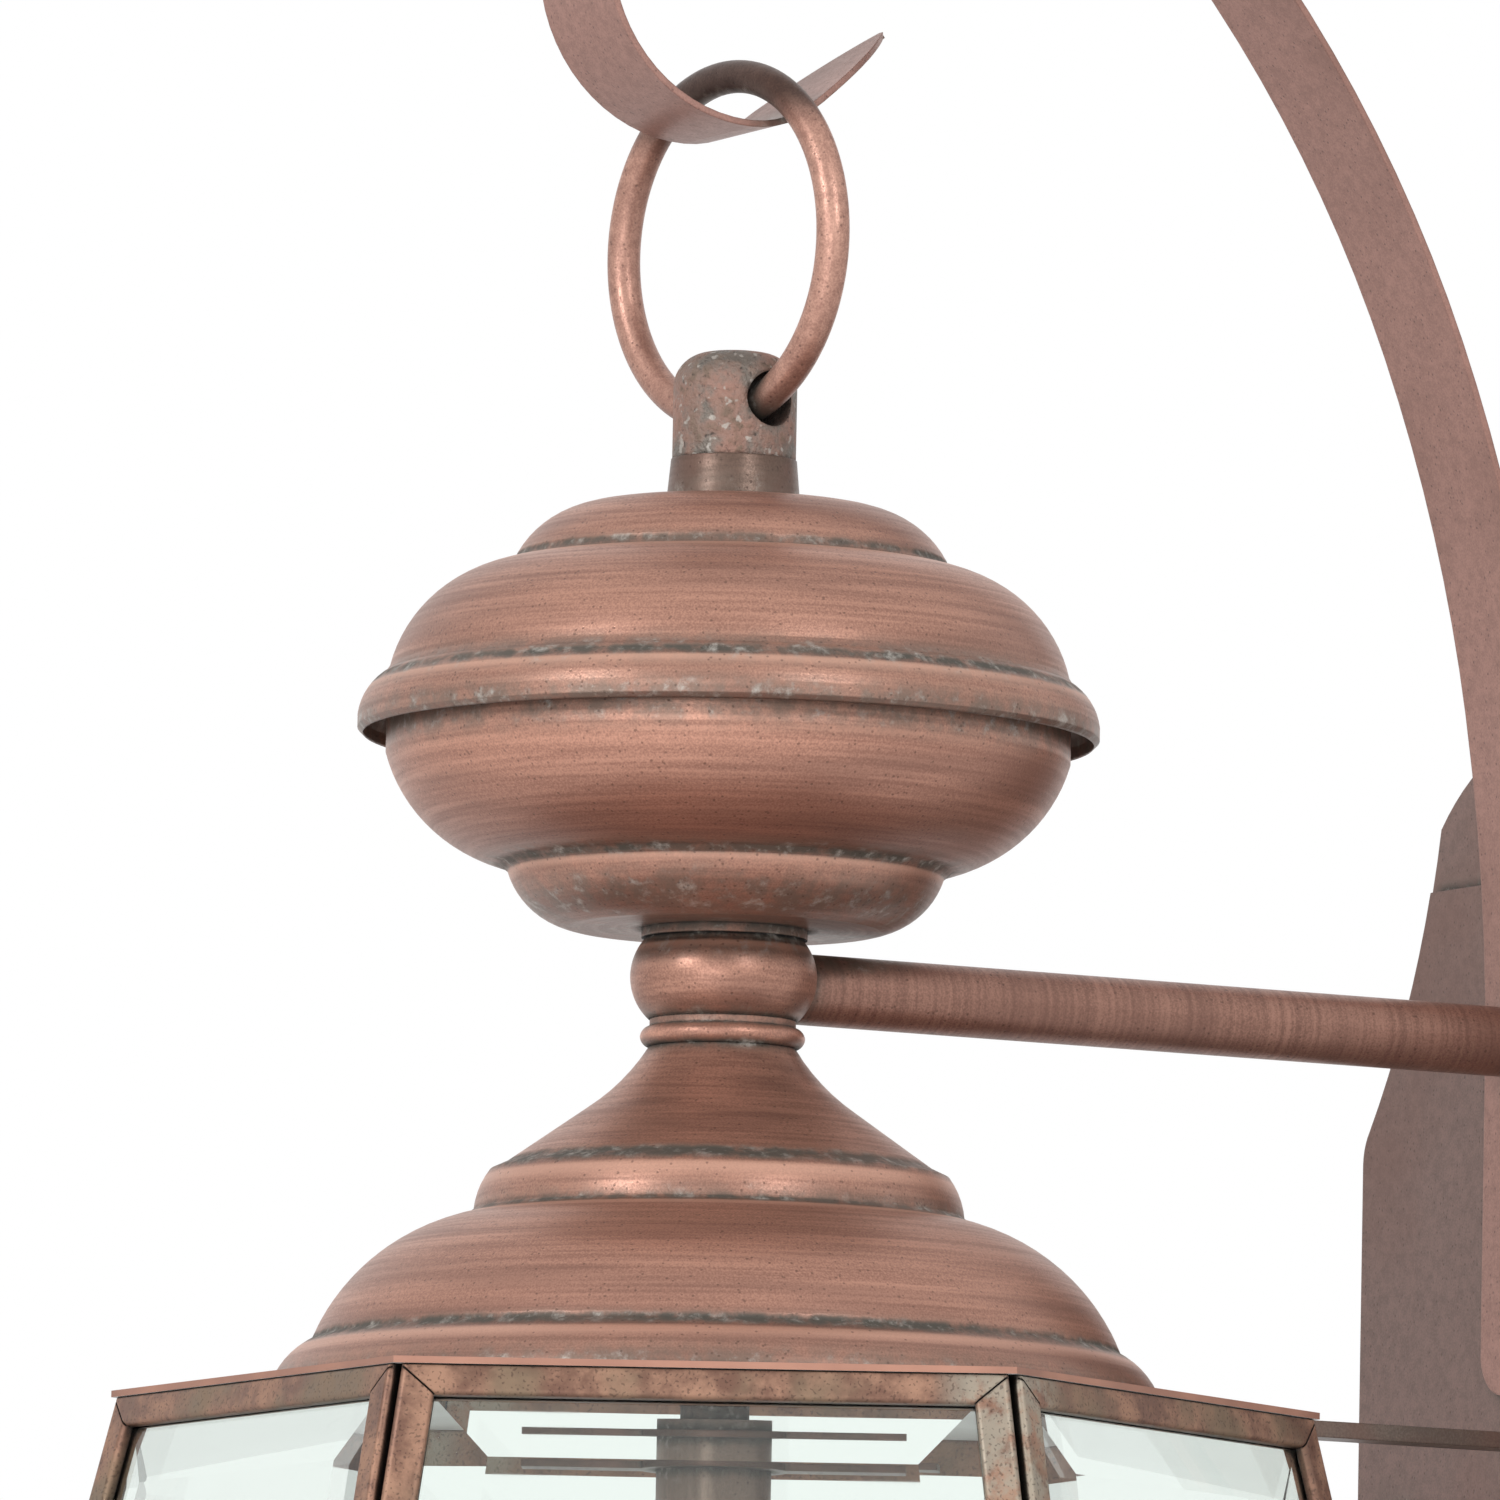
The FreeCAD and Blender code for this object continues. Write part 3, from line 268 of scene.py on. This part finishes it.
class Finish:
    """A material being made: its nodes, and short ways to add and link them."""

    def __init__(self, name):
        self.material = bpy.data.materials.new(name)
        self.material.use_nodes = True
        self.tree = self.material.node_tree
        self.tree.nodes.clear()
        self.shader = self.node("ShaderNodeBsdfPrincipled")
        output = self.node("ShaderNodeOutputMaterial")
        self.tree.links.new(self.shader.outputs["BSDF"], output.inputs["Surface"])

    def node(self, kind, **settings):
        node = self.tree.nodes.new(kind)
        for key, setting in settings.items():
            setattr(node, key, setting)
        return node

    def feed(self, socket, source):
        """Link a socket to another, or set it where the source is a plain value."""
        if isinstance(source, bpy.types.NodeSocket):
            self.tree.links.new(source, socket)
        else:
            socket.default_value = source

    def shade(self, **sockets):
        """Feed the shader's own sockets, with underscores for the spaces in their names."""
        for name, source in sockets.items():
            self.feed(self.shader.inputs[name.replace("_", " ")], source)

    def place(self):
        return self.node("ShaderNodeTexCoord").outputs["Object"]

    def height(self):
        return self.split(self.place())[2]

    def facing_up(self):
        """1 on faces that look straight up, -1 on those that look straight down."""
        return self.split(self.node("ShaderNodeNewGeometry").outputs["Normal"])[2]

    def split(self, vector):
        node = self.node("ShaderNodeSeparateXYZ")
        self.feed(node.inputs[0], vector)
        return node.outputs

    def join(self, x, y, z):
        node = self.node("ShaderNodeCombineXYZ")
        for socket, source in zip(node.inputs, (x, y, z)):
            self.feed(socket, source)
        return node.outputs[0]

    def math(self, operation, first, second=0.0):
        node = self.node("ShaderNodeMath", operation=operation)
        self.feed(node.inputs[0], first)
        self.feed(node.inputs[1], second)
        return node.outputs[0]

    def plus(self, first, second):
        return self.math("ADD", first, second)

    def minus(self, first, second):
        return self.math("SUBTRACT", first, second)

    def times(self, first, second):
        return self.math("MULTIPLY", first, second)

    def larger(self, first, second):
        return self.math("MAXIMUM", first, second)

    def noise(self, vector, scale, detail, roughness, fourth=None):
        node = self.node("ShaderNodeTexNoise", noise_dimensions="3D" if fourth is None else "4D")
        self.feed(node.inputs["Vector"], vector)
        if fourth is not None:
            self.feed(node.inputs["W"], fourth)
        for name, amount in (("Scale", scale), ("Detail", detail), ("Roughness", roughness)):
            self.feed(node.inputs[name], amount)
        return node.outputs["Fac"]

    def fade(self, source, low, high, start=0.0, stop=1.0):
        """Map low..high of the source smoothly to start..stop, and hold it outside."""
        node = self.node("ShaderNodeMapRange", interpolation_type="SMOOTHSTEP")
        for name, amount in (("From Min", low), ("From Max", high), ("To Min", start), ("To Max", stop)):
            self.feed(node.inputs[name], amount)
        self.feed(node.inputs["Value"], source)
        return node.outputs["Result"]

    def blend(self, share, under, over):
        node = self.node("ShaderNodeMix", data_type="RGBA")
        colours = [socket for socket in node.inputs if socket.type == "RGBA"]
        self.feed(node.inputs[0], share)
        self.feed(colours[0], under)
        self.feed(colours[1], over)
        return [socket for socket in node.outputs if socket.type == "RGBA"][0]

    def dots(self, vector, cells, chance):
        """Small round spots in that share of the cells of an even scatter."""
        node = self.node("ShaderNodeTexVoronoi")
        self.feed(node.inputs["Vector"], vector)
        self.feed(node.inputs["Scale"], cells)
        chosen = self.math("LESS_THAN", self.split(node.outputs["Color"])[0], chance)
        return self.times(self.fade(node.outputs["Distance"], *DOT_LEVELS), chosen)

    def crevice(self, reach):
        """How enclosed a point is: 0 in the open, 1 deep in a groove, within that reach."""
        node = self.node("ShaderNodeAmbientOcclusion", samples=CREVICE_SAMPLES, only_local=False)
        self.feed(node.inputs["Distance"], reach)
        return self.minus(1.0, node.outputs["AO"])

    def relief(self, height, depth, edge_radius=0.0):
        """A bump of that depth, over edges that catch light as if rounded."""
        node = self.node("ShaderNodeBump")
        self.feed(node.inputs["Height"], height)
        self.feed(node.inputs["Distance"], depth)
        if edge_radius:
            edge = self.node("ShaderNodeBevel", samples=EDGE_SAMPLES)
            self.feed(edge.inputs["Radius"], edge_radius)
            self.feed(node.inputs["Normal"], edge.outputs["Normal"])
        self.shade(Normal=node.outputs["Normal"])


def turned_grain(finish, axis):
    """Fine lines and broad bands about an upright axis, as a spinning tool and a brush leave them."""
    x, y, z = finish.split(finish.place())
    aside = finish.minus(x, axis.x)
    ahead = finish.minus(y, axis.y)
    radius = finish.math("SQRT", finish.plus(finish.times(aside, aside), finish.times(ahead, ahead)))
    east = finish.math("DIVIDE", aside, radius)
    north = finish.math("DIVIDE", ahead, radius)

    def ring_noise(across, around):
        spot = finish.join(finish.times(east, around), finish.times(north, around), finish.times(z, across))
        return finish.noise(spot, *GRAIN_LINES, fourth=finish.times(radius, across))

    return ring_noise(TURNED_FINE, TURNED_FINE_ROUND), ring_noise(TURNED_BROAD, TURNED_BROAD_ROUND)


def drawn_grain(finish, direction):
    """Fine lines square to the given axis, and broad clouds."""
    parts = finish.split(finish.place())
    scaled = [finish.times(part, DRAWN_ACROSS if number == direction else DRAWN_ALONG)
              for number, part in enumerate(parts)]
    lines = finish.noise(finish.join(*scaled), *GRAIN_LINES)
    return lines, finish.noise(finish.place(), *DRAWN_CLOUDS)


def rolled_grain(finish):
    """The soft, even clouding of rolled sheet, fine and broad."""
    place = finish.place()
    return finish.noise(place, *ROLLED_FINE), finish.noise(place, *ROLLED_CLOUDS)


def groove_patina(finish, grooves, blotch):
    """Lines of patina in turned grooves, the film beside them and a painted highlight on the lip below
    each.
    """
    z = finish.height()
    sway = finish.noise(finish.place(), *GROOVE_SWAY)
    lines, films, lip_highlights = 0.0, 0.0, 0.0
    for height, width, reach in grooves:
        below = finish.minus(height, z)
        off = finish.math("ABSOLUTE", below)
        films = finish.larger(films, finish.fade(off, reach, 0.0))
        if not width:
            continue
        lip_top = finish.fade(below, *(width * edge for edge in LIP_TOP))
        lip_bottom = finish.fade(below, *(width * edge for edge in LIP_BOTTOM))
        lip_highlights = finish.larger(lip_highlights, finish.times(lip_top, lip_bottom))
        ragged = finish.plus(off, finish.times(finish.minus(MIDDLE_LEVEL, blotch), width))
        lines = finish.larger(lines, finish.fade(ragged, *(width * edge for edge in LINE_EDGE)))
    return finish.times(lines, finish.fade(sway, *SWAY_LEVELS)), films, lip_highlights


def add_patina(finish, colour, grooves):
    """Grey film and painted shade, painted lip highlights, dark patina and pale bloom, in the crevices and
    along the grooves.

    Gives the colour, the patina's share and the groove lines.
    """
    place = finish.place()
    blotch = finish.noise(place, *BLOTCHES)
    lines, films, lip_highlights = groove_patina(finish, grooves, blotch)
    # Painted shade: wide crevices turn grey, as the real film along the grooves does
    wide = finish.larger(finish.fade(finish.crevice(WIDE_SHADE_REACH), *WIDE_LEVELS), films)
    wide = finish.times(wide, finish.fade(blotch, *WIDE_BLOTCH_LEVELS))
    colour = finish.blend(wide, colour, FILM_AND_SHADE_GREY)
    # Painted highlight on the lip below each groove
    colour = finish.blend(finish.times(lip_highlights, LIP_HIGHLIGHT_SHARE), colour, LIP_HIGHLIGHT)
    enclosed = finish.crevice(TIGHT_REACH)
    tight = finish.larger(finish.fade(enclosed, *TIGHT_LEVELS), lines)
    patina = finish.times(tight, finish.fade(blotch, *TIGHT_BLOTCH_LEVELS))
    colour = finish.blend(patina, colour, PATINA_GREY)
    colour = finish.blend(finish.fade(enclosed, *BLACK_LEVELS), colour, PATINA_BLACK)
    near = finish.larger(finish.fade(wide, *NEAR_LEVELS), finish.times(lines, LINE_BLOOM_SHARE))
    flecks = finish.fade(finish.noise(place, *BLOOM_FLECKS), *BLOOM_LEVELS)
    bloom = finish.times(finish.times(near, flecks), BLOOM_SHARE)
    return finish.blend(bloom, colour, BLOOM_WHITE), patina, lines


def aged_copper(name, grain, low, high, grooves=(), underside_share=UNDERSIDE_SHADE_SHARE, dark_above=None):
    """Copper in a brown film: grain between two tones, painted shade on faces that look down, patina and
    pale bloom in its grooves.

    Where dark_above gives a height, the piece turns black above it.
    """
    finish = Finish(name)
    place = finish.place()
    fine, broad = grain(finish)
    dust = finish.noise(place, *DUST)
    tone = finish.plus(finish.times(fine, FINE_SHARE), finish.times(dust, DUST_SHARE))
    colour = finish.blend(finish.fade(tone, *TONE_LEVELS), low, high)
    film = finish.times(finish.fade(broad, *FILM_LEVELS), FILM_SHARE)
    colour = finish.blend(film, colour, FILM_BROWN)
    # Painted shade: faces that look down darken towards brown
    under = finish.times(finish.fade(finish.facing_up(), *UNDERSIDE_LEVELS), underside_share)
    colour = finish.blend(under, colour, UNDERSIDE_SHADE_BROWN)
    if dark_above is not None:
        swaying = finish.plus(finish.height(), finish.times(broad, DARK_TOP_SWAY))
        darkened_top = finish.fade(swaying, dark_above, dark_above + DARK_TOP_FADE, 0.0, DARK_TOP_SHARE)
        colour = finish.blend(darkened_top, colour, PATINA_BLACK)
    colour, patina, lines = add_patina(finish, colour, grooves)
    specks = finish.dots(place, SPECK_CELLS, SPECK_CHANCE)
    colour = finish.blend(finish.times(specks, SPECK_SHARE), colour, SPECK_DARK)
    rough = finish.plus(finish.fade(tone, *COPPER_ROUGHNESS), finish.times(patina, PATINA_ROUGHENS))
    finish.shade(Base_Color=colour, Roughness=rough, Metallic=finish.fade(patina, *COPPER_METALLIC))
    pitted = finish.minus(tone, finish.times(specks, SPECK_DEPTH))
    grooved = finish.minus(pitted, finish.times(lines, LINE_DEPTH))
    finish.relief(grooved, COPPER_BUMP, COPPER_EDGE)
    return finish.material


def cast_copper(name):
    """The rough casting: mottled grey, pink and olive, pitted, with pale flecks."""
    finish = Finish(name)
    place = finish.place()
    lumps = finish.noise(place, *CAST_LUMPS)
    colour = finish.blend(finish.fade(lumps, *CAST_PINK_LEVELS), CAST_GREY, CAST_PINK)
    mottle = finish.fade(finish.noise(place, *CAST_MOTTLE), *CAST_OLIVE_LEVELS)
    colour = finish.blend(finish.times(mottle, CAST_OLIVE_SHARE), colour, CAST_OLIVE)
    pits = finish.noise(place, *CAST_PITS)
    dark = finish.times(finish.fade(pits, *CAST_PIT_LEVELS), CAST_PIT_SHARE)
    colour = finish.blend(dark, colour, PATINA_BLACK)
    flecks = finish.fade(finish.noise(place, *CAST_FLECKS), *CAST_FLECK_LEVELS)
    colour = finish.blend(finish.times(flecks, CAST_FLECK_SHARE), colour, BLOOM_WHITE)
    tight = finish.fade(finish.crevice(CAST_REACH), *CAST_TIGHT_LEVELS)
    colour = finish.blend(tight, colour, PATINA_BLACK)
    finish.shade(Base_Color=colour, Roughness=finish.fade(lumps, *CAST_ROUGHNESS), Metallic=CAST_METALLIC)
    finish.relief(finish.minus(lumps, finish.times(pits, PIT_DEPTH)), CAST_BUMP, CAST_EDGE)
    return finish.material


def came_copper(name, axis):
    """Folded came: brown and tan with an olive film, pale patina on two corners, black in the seams."""
    finish = Finish(name)
    place = finish.place()
    streaks = finish.noise(place, *CAME_STREAKS)
    colour = finish.blend(finish.fade(streaks, *CAME_TAN_LEVELS), CAME_BROWN, CAME_TAN)
    film = finish.fade(finish.noise(place, *CAME_FILM), *CAME_OLIVE_LEVELS)
    colour = finish.blend(finish.times(film, CAME_OLIVE_SHARE), colour, CAME_OLIVE)
    aside = finish.math("ABSOLUTE", finish.minus(finish.split(place)[Y_AXIS], axis.y))
    crust = finish.fade(finish.noise(place, *CAME_CRUST), *CAME_CRUST_LEVELS)
    pale = finish.times(finish.fade(aside, *PALE_CORNER), crust)
    colour = finish.blend(finish.times(pale, CAME_PALE_SHARE), colour, CAME_PALE)
    tight = finish.fade(finish.crevice(CAME_REACH), *CAME_TIGHT_LEVELS)
    colour = finish.blend(tight, colour, PATINA_BLACK)
    specks = finish.fade(finish.noise(place, *CAME_SPECKS), *CAME_SPECK_LEVELS)
    colour = finish.blend(finish.times(specks, CAME_SPECK_SHARE), colour, SPECK_DARK)
    finish.shade(Base_Color=colour, Roughness=finish.fade(streaks, *CAME_ROUGHNESS), Metallic=CAME_METALLIC)
    finish.relief(finish.noise(place, *CAME_GRAIN), CAME_BUMP, CAME_EDGE)
    return finish.material


def top_sheet(name):
    """Copper above and white paint below, where it throws the lamp's light down."""
    finish = Finish(name)
    place = finish.place()
    below = finish.fade(finish.facing_up(), *TOP_BELOW_LEVELS)
    cloud = finish.noise(place, *TOP_CLOUDS)
    copper = finish.blend(finish.fade(cloud, *TOP_COPPER_LEVELS), SPUN_LOW, SPUN_HIGH)
    paint = finish.blend(finish.fade(cloud, *TOP_PAINT_LEVELS), PAINT_SOFT, PAINT_WHITE)
    metal = finish.times(finish.minus(1.0, below), TOP_METALLIC)
    finish.shade(Base_Color=finish.blend(below, copper, paint), Metallic=metal,
                 Roughness=finish.fade(cloud, *TOP_ROUGHNESS))
    finish.relief(finish.noise(place, *TOP_GRAIN), TOP_BUMP)
    return finish.material


def zinc_steel(name):
    """Dull plated steel with a faint spangle."""
    finish = Finish(name)
    place = finish.place()
    spangle = finish.noise(place, *ZINC_SPANGLE)
    colour = finish.blend(finish.fade(spangle, *ZINC_LEVELS), STEEL_DARK, STEEL_LIGHT)
    tight = finish.fade(finish.crevice(ZINC_REACH), *ZINC_TIGHT_LEVELS)
    colour = finish.blend(finish.times(tight, ZINC_TIGHT_SHARE), colour, PATINA_GREY)
    finish.shade(Base_Color=colour, Roughness=finish.fade(spangle, *ZINC_ROUGHNESS), Metallic=ZINC_METALLIC)
    finish.relief(finish.noise(place, *ZINC_GRAIN), ZINC_BUMP, ZINC_EDGE)
    return finish.material


def bevelled_glass(name):
    """Clear glass with a trace of green and the faint waviness of a ground bevel."""
    finish = Finish(name)
    place = finish.place()
    smears = finish.noise(place, *GLASS_SMEARS)
    finish.shade(Base_Color=GLASS_TINT, Transmission_Weight=1.0, IOR=GLASS_IOR,
                 Roughness=finish.fade(smears, *GLASS_ROUGHNESS))
    finish.relief(finish.noise(place, *GLASS_WAVES), GLASS_BUMP)
    return finish.material


def pale_floor(name):
    """A faintly clouded floor that looks nearly white and still takes the shadow."""
    finish = Finish(name)
    clouds = finish.noise(finish.place(), *FLOOR_CLOUDS)
    low, high = (tuple(FLOOR_WHITE * share for _ in range(3)) + (1.0,) for share in FLOOR_SHADES)
    lift = finish.times(seen_directly(finish.tree), FLOOR_LIFT)
    finish.shade(Base_Color=finish.blend(clouds, low, high), Roughness=FLOOR_ROUGHNESS,
                 Emission_Color=WHITE, Emission_Strength=lift)
    return finish.material


def seen_directly(tree):
    """1 where the camera, a reflection or glass sees a surface, and 0 where it lights the object."""
    rays = tree.nodes.new("ShaderNodeLightPath")
    seen = rays.outputs["Is Camera Ray"]
    for name in ("Is Glossy Ray", "Is Transmission Ray"):
        larger = tree.nodes.new("ShaderNodeMath")
        larger.operation = "MAXIMUM"
        tree.links.new(seen, larger.inputs[0])
        tree.links.new(rays.outputs[name], larger.inputs[1])
        seen = larger.outputs[0]
    return seen


def dress(node, material):
    """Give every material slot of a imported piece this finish."""
    slots = node.data.materials
    if not slots:
        slots.append(material)
    for number in range(len(slots)):
        slots[number] = material


def spun_coppers(turned, arm_height):
    """A finish for each spun piece that has grooves of its own, by the piece's name."""
    coppers = {}
    for name, grooves in GROOVES.items():
        # The vent bowl takes the lighter copy of the spun copper, as painted light
        tones = (BOWL_PAINTED_LIGHT_LOW, BOWL_PAINTED_LIGHT_HIGH) if name == "vent_bowl" else (SPUN_LOW, SPUN_HIGH)
        placed = [(arm_height + height, width, reach) for height, width, reach in grooves]
        coppers[name] = aged_copper("aged_copper_" + name, turned, *tones, grooves=placed)
    return coppers


def dress_lantern():
    """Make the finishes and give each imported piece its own."""
    axis_low, axis_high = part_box("roof")
    axis = (axis_low + axis_high) / 2
    _, ring_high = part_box("suspension_ring")
    arm_low, arm_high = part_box("arm_tube")
    arm_height = (arm_low.z + arm_high.z) / 2

    def turned(finish):
        return turned_grain(finish, axis)

    def drawn_x(finish):
        return drawn_grain(finish, X_AXIS)

    def drawn_y(finish):
        return drawn_grain(finish, Y_AXIS)

    spun = spun_coppers(turned, arm_height)
    tube = aged_copper("aged_copper_tube", drawn_y, TUBE_LOW, TUBE_HIGH, underside_share=UNDERSIDE_SHADE_SHARE_TUBE)
    wire = aged_copper("aged_copper_wire", rolled_grain, WIRE_LOW, WIRE_HIGH,
                       dark_above=ring_high.z - DARK_TOP_DEPTH)
    sheet = aged_copper("aged_copper_sheet", rolled_grain, SHEET_LOW, SHEET_HIGH, underside_share=UNDERSIDE_SHADE_SHARE_SHEET)
    plate = aged_copper("aged_copper_plate", rolled_grain, PLATE_LOW, PLATE_HIGH)
    collar = aged_copper("aged_copper_collar", turned, COLLAR_LOW, COLLAR_HIGH)
    sleeve = aged_copper("aged_copper_sleeve", drawn_x, SLEEVE_LOW, SLEEVE_HIGH)
    column = aged_copper("aged_copper_column", drawn_x, COLUMN_LOW, COLUMN_HIGH)
    # The bead ring takes the same lighter copy, as painted light
    bead = aged_copper("aged_copper_bead", turned, BOWL_PAINTED_LIGHT_LOW, BOWL_PAINTED_LIGHT_HIGH)
    came = came_copper("came_copper", axis)
    glass = bevelled_glass("bevelled_glass")
    steel = zinc_steel("zinc_steel")
    finishes = {
        spun["vent_dome"]: ("vent_dome",),
        spun["vent_bowl"]: ("vent_bowl",),
        spun["roof"]: ("roof",),
        spun["hub"]: ("hub", "hub_washer"),
        bead: ("bead_ring",),
        tube: ("arm_tube", "cap_nuts"),
        wire: ("suspension_ring",),
        sheet: ("crook_strap", "bottom_rim"),
        plate: ("backplate",),
        collar: ("finial_collar", "lamp_bar"),
        sleeve: ("stay_bar",),
        column: ("socket_stem", "lamp_socket", "stem_screw"),
        cast_copper("cast_copper"): ("eye_finial",),
        top_sheet("top_sheet"): ("top_plate",),
        steel: ("mounting_crossbar", "mounting_studs", "arm_nipple", "arm_locknut",
                "centre_rod", "roof_nut"),
    }
    dressed = {name: material for material, names in finishes.items() for name in names}
    for name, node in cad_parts.items():
        if name.startswith("panel_frame"):
            dress(node, came)
        elif name.startswith("glass_panel"):
            dress(node, glass)
        else:
            dress(node, dressed[name])


def direction(azimuth, elevation):
    """The way from the lantern to that side: azimuth 0 is straight out from the wall."""
    level = math.cos(elevation)
    return Vector((math.sin(azimuth) * level, -math.cos(azimuth) * level, math.sin(elevation)))


def add_camera():
    """The photo's view: from the right, a little below, with its slight roll."""
    back = direction(AZIMUTH, ELEVATION)
    level = Vector((math.cos(AZIMUTH), math.sin(AZIMUTH), 0))
    upright = back.cross(level)
    right = level * math.cos(ROLL) + upright * math.sin(ROLL)
    up = upright * math.cos(ROLL) - level * math.sin(ROLL)
    hub_low, hub_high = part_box("hub")
    arm_low, arm_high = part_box("arm_tube")
    crossing = (hub_low + hub_high) / 2
    crossing.z = (arm_low.z + arm_high.z) / 2
    aim = crossing + right * AIM_RIGHT + up * AIM_UP
    data = bpy.data.cameras.new("camera")
    data.lens = LENS_MM
    data.sensor_width = SENSOR_MM
    data.clip_end = FAR_CLIP
    camera = bpy.data.objects.new("camera", data)
    turn = Matrix((right, up, back)).transposed().to_4x4()
    camera.matrix_world = Matrix.Translation(aim + back * DISTANCE) @ turn
    bpy.context.scene.collection.objects.link(camera)
    bpy.context.scene.camera = camera
    return aim


def add_panel_light(name, aim, azimuth, elevation, distance, size, power):
    """A soft square light that faces the lantern from that side."""
    data = bpy.data.lights.new(name, "AREA")
    data.shape = "SQUARE"
    data.size = size
    data.energy = power
    light = bpy.data.objects.new(name, data)
    back = direction(math.radians(azimuth), math.radians(elevation))
    light.location = aim + back * distance
    light.rotation_mode = "QUATERNION"
    light.rotation_quaternion = (-back).to_track_quat("-Z", "Y")
    bpy.context.scene.collection.objects.link(light)


def add_studio(aim):
    """Soft panels, a pale floor and a white surround."""
    for name, settings in PANELS.items():
        add_panel_light(name, aim, *settings)
    low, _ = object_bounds()
    half = FLOOR_SIZE / 2
    mesh = bpy.data.meshes.new("floor")
    corners = [(-half, -half, 0), (half, -half, 0), (half, half, 0), (-half, half, 0)]
    mesh.from_pydata(corners, [], [(0, 1, 2, 3)])
    floor = bpy.data.objects.new("floor", mesh)
    floor.location = (0, 0, low.z - FLOOR_DROP)
    bpy.context.scene.collection.objects.link(floor)
    mesh.materials.append(pale_floor("pale_floor"))
    floor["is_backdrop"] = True
    add_surround()


def add_surround():
    """White to the camera, to reflections and through glass, and a softer light on the object."""
    world = bpy.data.worlds.new("surround")
    bpy.context.scene.world = world
    world.use_nodes = True
    tree = world.node_tree
    tree.nodes.clear()
    strength = tree.nodes.new("ShaderNodeMapRange")
    strength.inputs["To Min"].default_value = AMBIENT
    strength.inputs["To Max"].default_value = BACKGROUND
    tree.links.new(seen_directly(tree), strength.inputs["Value"])
    background = tree.nodes.new("ShaderNodeBackground")
    background.inputs["Color"].default_value = WHITE
    tree.links.new(strength.outputs["Result"], background.inputs["Strength"])
    output = tree.nodes.new("ShaderNodeOutputWorld")
    tree.links.new(background.outputs["Background"], output.inputs["Surface"])


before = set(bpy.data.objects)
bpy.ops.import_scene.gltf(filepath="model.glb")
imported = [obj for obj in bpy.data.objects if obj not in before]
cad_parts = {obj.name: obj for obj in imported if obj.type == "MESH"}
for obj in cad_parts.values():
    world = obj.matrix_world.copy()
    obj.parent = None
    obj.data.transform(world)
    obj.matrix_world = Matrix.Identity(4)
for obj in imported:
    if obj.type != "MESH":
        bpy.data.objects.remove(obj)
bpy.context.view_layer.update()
bpy.context.scene.view_settings.view_transform = "Standard"
dress_lantern()
add_studio(add_camera())
